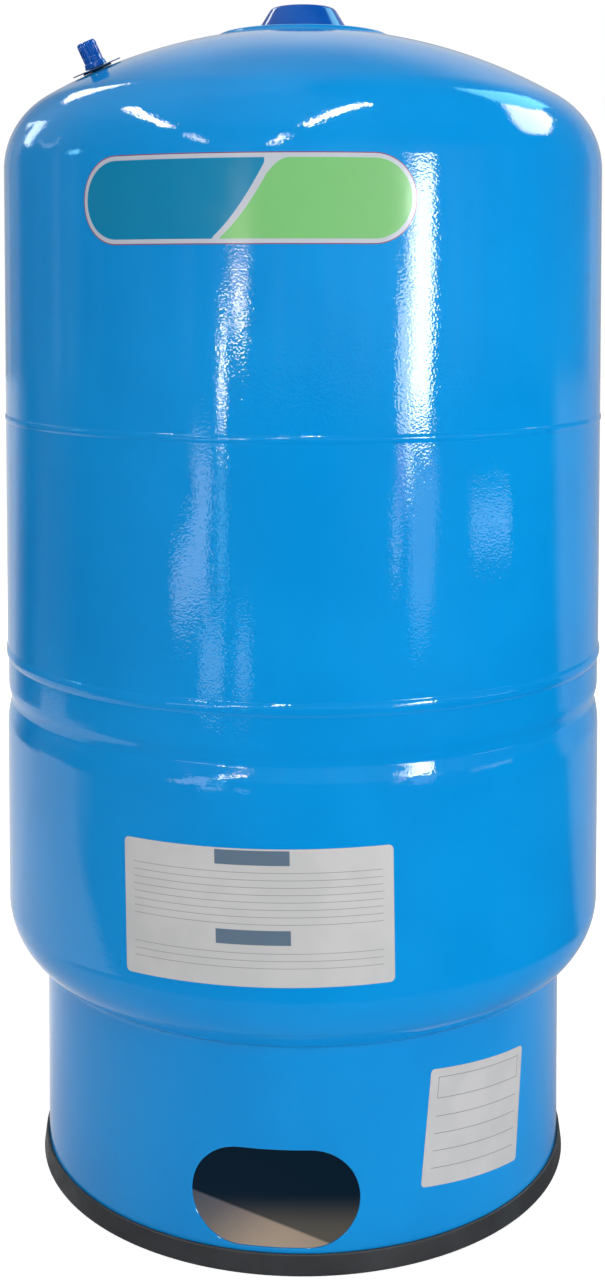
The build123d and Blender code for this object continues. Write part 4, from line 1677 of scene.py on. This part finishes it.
@dataclass
class Labels:
    """The three stickers, each a film with its printed layers and no lettering."""

    tools: Tools
    finishes: Finishes
    decal: Sticker = field(default_factory=lambda: Sticker(200.0, -10.6, 635.6, 206.0, 51.8, 25.4))
    notice: Sticker = field(default_factory=lambda: Sticker(200.0, -8.1, 223.7, 163.0, 80.5, 3.0, 0.9))
    rating: Sticker = field(default_factory=lambda: Sticker(174.5, 38.1, 75.7, 79.5, 71.5, 2.5, -5.6))
    film: Point = (0.05, 0.22)
    ink: float = 0.02

    def lay(
        self, name: str, sticker: Sticker, cut: Flat, finish: Any, printed: bool = True,
        copies: int = 1, pitch: float = 0.0,
    ) -> Any:
        """Lays one layer of a label on the wall.

        Args:
            name: Name of the layer.
            sticker: The label that it's on.
            cut: Its flat cut-out.
            finish: Its material.
            printed: Whether it's ink on the film, and not the film.
            copies: Number of rows.
            pitch: Distance between rows.

        Returns:
            The layer.
        """
        points, faces = cut
        low, high = (self.film[1], self.film[1] + self.ink) if printed else self.film
        n = len(points)
        sided = dict.fromkeys(edge for face in faces for edge in zip(face, face[1:] + face[:1]))
        solid = [(x, y, z) for z in (high, low) for x, y in points]
        sides = [(j, i, n + i, n + j) for i, j in sided if (j, i) not in sided]
        under = [tuple(n + i for i in reversed(face)) for face in faces]
        made = link_mesh(name, solid, [*faces, *under, *sides])
        values = {
            "Copies": copies,
            "Copy Pitch": pitch * MM,
            "Wall Radius": sticker.wall_r * MM,
            "Azimuth": radians(sticker.azimuth),
            "Height": sticker.height * MM,
            "Tilt": radians(sticker.tilt),
            "Finish": finish,
        }
        return clean(grow(made, self.tools.wall, values), outward=False)

    def blank(self, node: str, card: Sticker) -> None:
        """Lays a white label's film and hands it over.

        Args:
            node: The node that it stands for.
            card: The label's place.
        """
        white = self.finishes.get(LABEL_FILM)
        hand_over(self.lay(f"{node}_film", card, card.field(), white, False), "tank", "label_film", node)

    def build_decal(self) -> None:
        """Makes the pill shaped decal: a pale border round a teal and a green field."""
        pill, border = self.decal, 3.1

        def slope(x: float) -> float:
            """Gives the height of the teal field's slanted end along the decal."""
            return -13.5 + 1.394 * (x + 6.7) + 0.017 * (x + 6.7) * (x - 7)

        def teal_low(x: float) -> float:
            """Gives the teal field's lower edge."""
            return -99.0 if x < -14.5 else slope(x) if x < 15.4 else slope(x) + 4 * (x - 15.4)

        def green_high(x: float) -> float:
            """Gives the green field's upper edge, round at its left shoulder."""
            if x > 17:
                return 22.9 - 8.5 * max(0.0, (30 - x) / 13) ** 2
            return slope(x - 4.7) if x > -11.0 else -99.0

        for name, cut, ink, colour, nodes in (
            ("film", pill.field(), "pale vinyl film", "#BFC5D0", ["front_decal"]),
            ("edge", pill.frame(0.0, 0.55), "dark red vinyl ink", "#8A4463", []),
            ("teal", pill.field(border, low=teal_low, step=0.8), "teal vinyl ink", "#0283B0", []),
            ("green", pill.field(border, high=green_high, step=0.8), "green vinyl ink", "#7CC378", []),
        ):
            finish = self.finishes.ink(ink, colour)
            made = self.lay(f"front_decal_{name}", pill, cut, finish, name != "film")
            hand_over(made, "tank", "decal_vinyl", *nodes)

    def build_notice(self) -> None:
        """Makes the large white label: a blank record card with ruled rows."""
        card = self.notice
        self.blank("notice_label", card)
        grey = self.finishes.ink("grey label ink", "#8C8C8C", LABEL_FILM)
        slate = self.finishes.ink("slate label ink", "#5A7186", LABEL_FILM)
        bars = together(bar(-0.8, 35.0, 44.0, 8.6), bar(-0.8, -11.4, 44.0, 8.6))
        hand_over(self.lay("notice_label_bars", card, bars, slate), "tank", "label_film")
        high_rows, low_rows = (
            self.lay(f"notice_label_rows{end}", card, bar(0, top, 150.0, 0.32), grey, copies=count, pitch=4.3)
            for end, top, count in (("", 26.4, 8), ("_low", -20.6, 3))
        )
        hand_over(join(high_rows, low_rows), "tank", "label_film")

    def build_rating(self) -> None:
        """Makes the small white label: a box over ruled rows."""
        card = self.rating
        self.blank("rating_label", card)
        dark = self.finishes.ink("dark grey label ink", "#77777B", LABEL_FILM)
        line = 0.35
        low, high, left, right = 17.75, 30.45, -33.75, 34.75
        across, up = (left + right) / 2, (low + high) / 2
        box = together(
            bar(across, high, right - left, line), bar(across, low, right - left, line),
            bar(left, up, line, high - low), bar(right, up, line, high - low),
        )
        frame = self.lay("rating_label_box", card, box, dark)
        rows = self.lay("rating_label_rows", card, bar(0.5, 6.75, 68.5, line), dark, copies=4, pitch=10.5)
        hand_over(join(frame, rows), "tank", "label_film")

    def build(self) -> None:
        """Makes the three labels."""
        self.build_decal()
        self.build_notice()
        self.build_rating()


@dataclass
class Inside:
    """The pieces that keep the frame's own shape and only get a finish."""

    finishes: Finishes
    nodes: dict[str, Any]

    def build(self) -> None:
        """Gives each of them its finish."""
        for finish, names in (
            (LINER_PLASTIC, ("liner", "flow_diffuser")),
            (BUTYL, ("diaphragm",)),
            (BARE_STEEL, ("hoop_ring", "crown_boss")),
            (STAINLESS, ("water_elbow", "inlet_nut")),
            (SEAL_RUBBER, ("inlet_seal", "valve_inner_seal", "valve_cap_seal")),
        ):
            for name in names:
                for slot in self.nodes[name].material_slots:
                    slot.material = self.finishes.get(finish)
                log.info("%s: %s", name, finish.name)


# Studio


@dataclass(frozen=True)
class Lamp:
    """A broad soft lamp that lights surfaces and isn't seen in reflections.

    Attributes:
        name: Its name.
        azimuth: Direction from the tank, in degrees from the front towards +X.
        elevation: Degrees above the horizon.
        width: Width in degrees, as seen from the tank.
        tall: Height in degrees, as seen from the tank.
        radiance: Brightness of its face.
        distance: Distance in metres.
        aim: Height in metres that it looks at.
    """

    name: str
    azimuth: float
    elevation: float
    width: float
    tall: float
    radiance: float
    distance: float = 3.0
    aim: float = 0.4

    def build(self) -> None:
        """Makes the lamp."""
        data = bpy.data.lights.new(self.name, "AREA")
        data.shape = "RECTANGLE"
        data.size = 2 * self.distance * tan(radians(self.width / 2))
        data.size_y = 2 * self.distance * tan(radians(self.tall / 2))
        data.energy = self.radiance * pi * data.size * data.size_y
        made = bpy.data.objects.new(self.name, data)
        a, e = radians(self.azimuth), radians(self.elevation)
        out = Vector((sin(a) * cos(e), -cos(a) * cos(e), sin(e)))
        made.location = out * self.distance + Vector((0, 0, self.aim))
        made.rotation_euler = (-out).to_track_quat("-Z", "Y").to_euler()
        made.visible_camera = made.visible_glossy = False
        bpy.context.scene.collection.objects.link(made)


def upright(distance: float, *rows: Spot) -> Rungs:
    """Places a pane's rungs on an upright round wall.

    Args:
        distance: The wall's distance from the tank's axis, in metres.
        rows: Left azimuth, right azimuth and height in metres of each rung.

    Returns:
        The rungs' two ends.
    """
    return tuple(
        tuple((sin(radians(a)) * distance, -cos(radians(a)) * distance, z) for a in ends)
        for *ends, z in rows
    )


def level(height: float, *rows: tuple[Point, Point]) -> Rungs:
    """Places a pane's rungs on a level plane.

    Args:
        height: The plane's height, in metres.
        rows: The two ends of each rung, in metres.

    Returns:
        The rungs' two ends.
    """
    return tuple(((*left, height), (*right, height)) for left, right in rows)


@dataclass(frozen=True)
class Pane:
    """A bright window, skylight or patch of floor of the room, which only reflections show.

    Attributes:
        name: Its name.
        radiance: Its brightness.
        rungs: The ladder of points that it's drawn on, in metres.
        colour: Its colour, sRGB hex.
    """

    name: str
    radiance: float
    rungs: Rungs
    colour: str = "#FFFFFF"

    def build(self) -> None:
        """Makes the pane."""
        points = [[c / MM for c in end] for rung in self.rungs for end in rung]
        faces = [(2 * i, 2 * i + 1, 2 * i + 3, 2 * i + 2) for i in range(len(self.rungs) - 1)]
        made = link_mesh(self.name.replace(" ", "_"), points, faces)
        glow = bpy.data.materials.new(f"daylight in the {self.name}")
        tree = own_tree(glow)
        light = {"Color": linear(self.colour), "Strength": self.radiance}
        shader = tree.add("ShaderNodeEmission", light)
        tree.add("ShaderNodeOutputMaterial", {"Surface": shader.outputs[0]})
        made.data.materials.append(glow)
        made.visible_camera = made.visible_diffuse = made.visible_shadow = False
        made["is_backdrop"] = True


@dataclass
class Studio:
    """The pale floor, the white surround, the room that reflections show, the lamps and the camera."""

    distance: float = 1.1486
    height: float = 0.5902
    pitch: float = 2.662
    lens: float = 47.31
    shift: Point = (-0.0004, -0.2215)
    ambient: float = 0.45
    stand_r: float = 176.0
    lamps: tuple[Lamp, ...] = (
        Lamp("soft window right", 30.0, 10.0, 32.0, 42.0, 3.9),
        Lamp("soft ceiling", 0.0, 89.0, 60.0, 60.0, 1.1, 2.6, 0.5),
        Lamp("soft wall behind left", -125.0, 8.0, 30.0, 42.0, 3.0),
        Lamp("soft wall behind right", 125.0, 8.0, 30.0, 42.0, 1.6),
    )
    panes: tuple[Pane, ...] = (
        Pane("tall window right", 24.0, upright(
            3.0, (40.6, 45.9, 0.875), (39.2, 46.6, 0.84), (38.2, 46.7, 0.6), (38.0, 46.7, 0.5),
            (38.0, 46.0, 0.4), (38.0, 44.8, 0.31), (38.0, 46.2, 0.25),
        )),
        Pane("window side right", 9.0, upright(3.0, (33.3, 36.3, 0.57), (33.3, 36.3, 0.25))),
        Pane("window bar right", 11.0, upright(3.0, (36.3, 38.0, 0.87), (36.3, 38.0, 0.25))),
        Pane("window foot right", 15.0, upright(2.0, (35.4, 42.0, 0.31), (36.5, 41.5, 0.25))),
        Pane("magenta sign", 2.6, upright(2.0, (32.7, 35.3, 0.31), (32.9, 34.9, 0.2)), "#FF86E6"),
        Pane("sill right", 2.6, upright(2.0, (31.1, 33.4, 0.22), (31.3, 33.2, 0.11))),
        Pane("window wall right", 1.5, upright(
            2.0, (37.1, 47.6, 0.31), (36.7, 47.6, 0.19), (37.5, 45.6, 0.06), (38.3, 43.0, 0.005),
        ), "#E2E8FF"),
        Pane("far window right", 2.5, upright(2.0, (61.0, 78.5, 0.22), (61.0, 78.5, 0.15)), "#E6F0FF"),
        Pane("doorway left", 1.3, upright(3.0, (-22.0, -17.0, 0.87), (-22.0, -17.6, 0.65)), "#FFF0E4"),
        Pane(
            "doorway left middle", 6.5,
            upright(3.0, (-25.4, -19.0, 0.665), (-25.4, -19.0, 0.561)), "#FFDFC6",
        ),
        Pane("doorway left low", 24.0, upright(
            3.0, (-24.6, -19.4, 0.561), (-24.8, -19.6, 0.51), (-23.0, -20.6, 0.47),
        ), "#FFF2E2"),
        Pane("slim window left", 26.0, upright(
            3.0, (-27.4, -25.8, 0.53), (-28.4, -26.7, 0.48), (-29.2, -27.4, 0.4), (-29.2, -27.5, 0.257),
        ), "#F6F4FF"),
        Pane("stair left", 3.6, upright(
            2.0, (-39.3, -31.7, 0.31), (-37.9, -31.3, 0.26), (-36.5, -32.2, 0.23), (-39.3, -32.3, 0.18),
            (-43.2, -34.0, 0.14), (-46.2, -33.0, 0.11), (-46.2, -31.3, 0.075), (-46.4, -36.4, 0.05),
            (-44.8, -40.9, 0.03),
        ), "#E6E8FA"),
        Pane("blue crack left", 2.6, upright(2.0, (-29.6, -26.7, 0.3), (-29.2, -26.7, 0.07)), "#B4ECFF"),
        Pane("floor patch left", 2.3, level(
            0.002, ((-1.17, -1.73), (-0.98, -1.85)), ((-1.06, -1.48), (-0.84, -1.62)),
            ((-0.91, -1.28), (-0.72, -1.4)),
        ), "#E0F0FF"),
        Pane("floor patch middle", 1.9, level(
            0.002, ((-0.8, -1.89), (-0.64, -1.95)), ((-0.61, -1.46), (-0.49, -1.51)),
        ), "#E0F0FF"),
        Pane("pale floor left", 0.8, level(
            0.001, ((-0.47, -0.29), (-0.47, 0.3)),
            ((-0.66, -0.21), (-0.6, 0.35)), ((-0.83, -0.12), (-0.7, 0.4)),
            ((-1.5, 0.14), (-1.4, 0.5)),
        )),
        Pane("skylight left", 40.0, level(
            2.7, ((-1.9, 0.06), (-2.03, 0.06)),
            ((-1.88, -0.2), (-2.12, -0.2)), ((-2.1, -0.72), (-2.33, -0.78)),
            ((-2.29, -1.2), (-2.5, -1.26)), ((-2.42, -1.6), (-2.68, -1.68)), ((-2.62, -2.05), (-2.78, -2.05)),
        )),
        Pane("skylight far left", 17.0, level(
            2.7, ((-2.97, -3.1), (-3.13, -3.15)), ((-3.28, -3.95), (-3.62, -4.05)),
            ((-3.7, -4.9), (-4.1, -5.1)), ((-4.1, -5.9), (-4.55, -6.3)),
        )),
        Pane("skylight right", 60.0, level(
            2.7, ((-0.02, -3.09), (0.12, -3.12)),
            ((0.19, -2.25), (0.33, -2.38)), ((0.39, -1.55), (0.49, -1.76)),
            ((0.56, -1.11), (0.65, -1.22)), ((0.68, -0.92), (0.75, -0.98)),
        )),
        Pane("skylight front", 26.0, level(
            2.7, ((-0.38, -4.5), (-0.62, -4.6)),
            ((-0.6, -5.7), (-0.95, -5.8)), ((-1.02, -7.0), (-1.3, -6.95)),
            ((-1.9, -9.9), (-2.1, -9.8)),
        )),
        Pane("skylight behind left", 7.5, level(
            2.7, ((-1.05, 1.62), (-1.06, 1.65)), ((-1.36, 2.15), (-1.45, 1.85)), ((-1.56, 2.7), (-1.74, 2.0)),
            ((-1.77, 2.9), (-1.98, 2.2)), ((-2.05, 2.65), (-2.22, 2.35)),
        )),
        Pane(
            "cyan lamp left", 9.0,
            upright(4.0, (-93.0, -89.2, 1.4), (-94.6, -87.6, 1.27), (-93.4, -89.6, 1.14)), "#90E4FF",
        ),
        Pane("window behind left", 5.0, (
            ((-2.74, 2.91, 2.29), (-3.16, 2.45, 2.56)), ((-2.89, 2.77, 2.05), (-3.3, 2.26, 2.25)),
            ((-2.9, 2.75, 1.8), (-3.28, 2.3, 1.84)), ((-2.96, 2.7, 1.58), (-3.27, 2.3, 1.49)),
        ), "#E8F6FF"),
        Pane("pane behind left", 3.5, (
            ((-2.39, 3.2, 1.97), (-2.4, 3.18, 2.0)), ((-2.59, 3.04, 1.88), (-2.79, 2.87, 2.32)),
        ), "#E8F6FF"),
        Pane("duct left", 1.7, (
            ((-3.47, 1.98, 1.9), (-3.52, 1.9, 1.74)), ((-3.66, 1.62, 1.72), (-3.7, 1.52, 1.54)),
            ((-3.79, 1.28, 1.65), (-3.83, 1.16, 1.5)), ((-3.84, 1.11, 1.86), (-3.87, 1.0, 1.76)),
            ((-3.82, 1.19, 2.12), (-3.86, 1.06, 2.08)),
        ), "#E8F0FF"),
        Pane("skylight behind right", 4.5, level(
            2.7, ((1.09, 0.83), (1.15, 0.8)), ((1.31, 1.14), (1.61, 0.72)), ((1.58, 1.76), (1.97, 0.79)),
            ((1.88, 2.19), (2.13, 1.09)), ((2.39, 2.55), (2.5, 1.7)),
        ), "#9CF2FF"),
        Pane("bay window right", 10.0, level(
            2.7, ((1.97, 0.79), (2.0, 0.75)), ((2.13, 1.09), (3.0, 0.33)), ((2.46, 1.39), (4.0, 0.29)),
            ((2.53, 1.96), (4.85, 0.62)), ((3.19, 2.18), (4.99, 1.7)),
        )),
    )

    def camera(self) -> None:
        """Sets the camera at the photograph's place."""
        data = bpy.data.cameras.new("camera")
        data.sensor_fit = "AUTO"
        data.sensor_width = 36.0
        data.lens = self.lens
        data.shift_x, data.shift_y = self.shift
        made = bpy.data.objects.new("camera", data)
        made.location = (0, -self.distance, self.height)
        made.rotation_euler = (radians(90 - self.pitch), 0, 0)
        bpy.context.scene.collection.objects.link(made)
        bpy.context.scene.camera = made

    def surround(self) -> None:
        """Makes the world: white to the camera, a dim room with a pale back in reflections, plain light."""
        world = bpy.data.worlds.new("white surround")
        tree = own_tree(world)
        path = tree.add("ShaderNodeLightPath").outputs
        where = tree.add("ShaderNodeTexCoord").outputs["Generated"]
        height = tree.add("ShaderNodeSeparateXYZ", {0: where}).outputs["Z"]
        # Levels of the room's walls, of their upper parts and of the ceiling.
        low = tree.around(
            where, (-180, 0.46), (-147, 0.44), (-137, 0.33), (-129, 0.09), (-112, 0.13), (-103, 0.3),
            (-96, 0.24), (-88, 0.1), (-72, 0.11), (-55, 0.19), (0, 0.21), (52, 0.22), (68, 0.13), (84, 0.03),
            (116, 0.05), (130, 0.14), (141, 0.37), (152, 0.45), (180, 0.46),
        )
        middle = tree.around(
            where, (-180, 0.82), (-168, 0.62), (-160, 0.22), (-150, 0.24), (-134, 0.45), (-115, 0.4),
            (-90, 0.2), (-60, 0.16), (-20, 0.13), (0, 0.1), (18, 0.05), (60, 0.02), (100, 0.02), (135, 0.12),
            (150, 0.45), (160, 0.62), (180, 0.82),
        )
        high = tree.around(
            where, (-180, 0.25), (-165, 0.35), (-150, 0.3), (-120, 0.38), (-100, 0.45), (-75, 0.4),
            (-50, 0.27), (-20, 0.27), (0, 0.22), (25, 0.12), (50, 0.06), (100, 0.02), (140, 0.06),
            (160, 0.12), (170, 0.18), (180, 0.25),
        )
        # The walls show as faint upright streaks, as posts and shelves do in a curved gloss.
        tall = tree.add("ShaderNodeMapping", {"Vector": where, "Scale": (9.0, 9.0, 1.2)}).outputs[0]
        streaks = tree.add("ShaderNodeTexNoise", {"Vector": tall, "Scale": 1.0, "Detail": 3.0}).outputs[0]
        streaks = tree.eased(streaks, 0.3, 0.7, 0.6, 1.4)
        walls = tree.blend(tree.eased(height, 0.14, 0.34), tree.math("MULTIPLY", low, streaks), middle)
        room = tree.blend(tree.eased(height, 0.5, 0.76), walls, high)
        strength = tree.blend(path["Is Glossy Ray"], self.ambient, room)
        seen = tree.math("MAXIMUM", path["Is Camera Ray"], path["Is Transmission Ray"])
        strength = tree.blend(seen, strength, 1.0)
        shader = tree.add("ShaderNodeBackground", {"Color": (1, 1, 1, 1), "Strength": strength})
        tree.add("ShaderNodeOutputWorld", {"Surface": shader.outputs[0]})
        bpy.context.scene.world = world

    def ring(self, name: str, radii: Sequence[float]) -> Any:
        """Makes a flat ring or disc of floor.

        Args:
            name: Its name.
            radii: Radii of its rings of points; a first radius of 0 makes a disc.

        Returns:
            The floor.
        """
        # A radius of 0 is opened a little, because a ring of points can't lie in one place.
        around, floor_z = 96, -0.3
        radii = [max(r, 0.01) for r in radii]
        turns = [2 * pi * i / around for i in range(around)]
        points = [(r * cos(a), r * sin(a), floor_z) for r in radii for a in turns]
        faces = []
        for near, far in ((k * around, (k + 1) * around) for k in range(len(radii) - 1)):
            for i, i2 in ((i, (i + 1) % around) for i in range(around)):
                faces.append((near + i, far + i, far + i2, near + i2))
        return link_mesh(name, points, faces)

    def floor(self) -> None:
        """Makes the paper sweep, and the floor that shows through the stand's opening."""
        covered = self.ring("floor_under_stand", (0.0, 60.0, 120.0, self.stand_r))
        covered.data.materials.append(self.painted_light_floor())
        sweep = self.ring("floor_sweep", (self.stand_r, 400.0, 1500.0, 9000.0))
        sweep.data.materials.append(self.paper())
        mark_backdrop(covered, sweep)

    def painted_light_floor(self) -> bpy.types.Material:
        """Makes the floor under the stand: beige paper in painted light that ends at the straight edge of a
        painted shadow, with painted shade beyond.

        Returns:
            The material.
        """
        made = bpy.data.materials.new("kraft paper on a dark floor")
        tree = own_tree(made)
        place = tree.add("ShaderNodeTexCoord").outputs["Object"]
        part = tree.add("ShaderNodeSeparateXYZ", {0: place}).outputs
        # Distance behind the straight edge of the painted shadow, the line from (-56, -92) to (7, -136) mm.
        behind = tree.math("MULTIPLY_ADD", part["X"], 0.7, part["Y"])
        # Share of the painted shadow beyond that edge.
        dark = tree.eased(behind, -0.133, -0.1295)
        # Painted light, as if it came in low at the front right: the glow below is beige where it falls and
        # navy where it doesn't.
        lit = tree.eased(tree.math("MULTIPLY_ADD", part["Y"], -0.8, part["X"]), 0.0096, 0.1046)
        # Painted shade, darker and bluer further in under the stand.
        painted_shade_inward = tree.eased(part["Y"], -0.135, -0.085)
        # In the painted shadow the paper's colour is painted near black.
        colour = tree.blend(dark, linear("#CDB394"), linear("#222222"))
        shader = tree.add("ShaderNodeBsdfDiffuse", {"Color": colour})
        # The real stand lets light in all round below; this painted glow stands for it, painted light where
        # that light falls and painted shade where it doesn't.
        painted_light_tint = tree.blend(lit, linear("#002843"), linear("#87796C"))
        glow = tree.blend(dark, painted_light_tint, tree.blend(painted_shade_inward, linear("#524F49"), linear("#0B1C2B")))
        own = tree.add("ShaderNodeEmission", {"Color": glow})
        lit = tree.add("ShaderNodeAddShader", {0: shader.outputs[0], 1: own.outputs[0]})
        tree.add("ShaderNodeOutputMaterial", {"Surface": lit.outputs[0]})
        return made

    def paper(self) -> bpy.types.Material:
        """Makes the white paper, whose far parts are out of the light where only reflections see them.

        Returns:
            The material.
        """
        made = bpy.data.materials.new("white paper sweep")
        tree = own_tree(made)
        path = tree.add("ShaderNodeLightPath").outputs
        place = tree.add("ShaderNodeTexCoord").outputs["Object"]
        near = tree.around(
            place, (-180, 0.9), (-120, 0.9), (-95, 0.66), (-75, 0.55), (-50, 0.42), (-30, 0.28), (0, 0.2),
            (30, 0.18), (75, 0.2), (90, 0.3), (110, 0.43), (130, 0.5), (180, 0.55),
        )
        middle = tree.around(
            place, (-180, 0.75), (-90, 0.92), (-83, 0.4), (-76, 0.11), (-50, 0.15), (-30, 0.08),
            (0, 0.01), (40, 0.04), (50, 0.0), (108, 0.02), (114, 0.38), (130, 0.5), (180, 0.5),
        )
        far = tree.around(
            place, (-180, 0.75), (-140, 0.76), (-134, 0.4), (-127, 0.1), (-121, 0.03), (-110, 0.18),
            (-98, 0.16), (-87, 0.07), (-72, 0.1), (-55, 0.14), (-20, 0.05), (0, 0.01), (52, 0.06), (70, 0.0),
            (104, 0.0), (110, 0.45), (120, 0.32), (139, 0.42), (180, 0.5),
        )
        length = tree.add("ShaderNodeVectorMath", {0: place}, operation="LENGTH").outputs["Value"]
        mirrored = tree.blend(tree.eased(length, 1.2, 1.4), middle, far)
        mirrored = tree.blend(tree.eased(length, 0.42, 0.5), near, mirrored)
        glow = tree.add("ShaderNodeEmission", {"Strength": mirrored})
        matt = tree.add("ShaderNodeBsdfDiffuse", {"Color": linear("#ECECEC")})
        own = tree.add("ShaderNodeEmission", {"Strength": tree.math("MULTIPLY", path["Is Camera Ray"], 0.66)})
        lit = tree.add("ShaderNodeAddShader", {0: matt.outputs[0], 1: own.outputs[0]})
        shaders = {0: path["Is Glossy Ray"], 1: lit.outputs[0], 2: glow.outputs[0]}
        both = tree.add("ShaderNodeMixShader", shaders)
        tree.add("ShaderNodeOutputMaterial", {"Surface": both.outputs[0]})
        return made

    def build(self) -> None:
        """Makes the whole studio."""
        self.camera()
        self.surround()
        self.floor()
        for each in (*self.lamps, *self.panes):
            each.build()
        bpy.context.scene.view_settings.view_transform = "Standard"
        log.info("studio: %d lamps, %d panes", len(self.lamps), len(self.panes))


def corners(box: tuple[Vector, Vector]) -> list[list[float]]:
    """Turns a box's two corners to plain lists of numbers."""
    return [[float(c) for c in corner] for corner in box]


def main() -> None:
    """Builds the tank's pieces in order, then the studio."""
    logging.basicConfig(level=logging.INFO, format="%(name)s: %(message)s")
    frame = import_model()
    frame_box = corners(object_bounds())
    tools, finishes = Tools(), Finishes()
    Studio().build()
    vessel = Vessel(tools, finishes)
    vessel.build()
    Stand(tools, finishes, vessel).build()
    CrownCap(tools, finishes, vessel).build()
    AirValve(tools, finishes, vessel).build()
    Labels(tools, finishes).build()
    Inside(finishes, frame["nodes"]).build()
    {"frame": frame_box, "dressed": corners(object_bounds())}


if __name__ == "__main__":
    main()
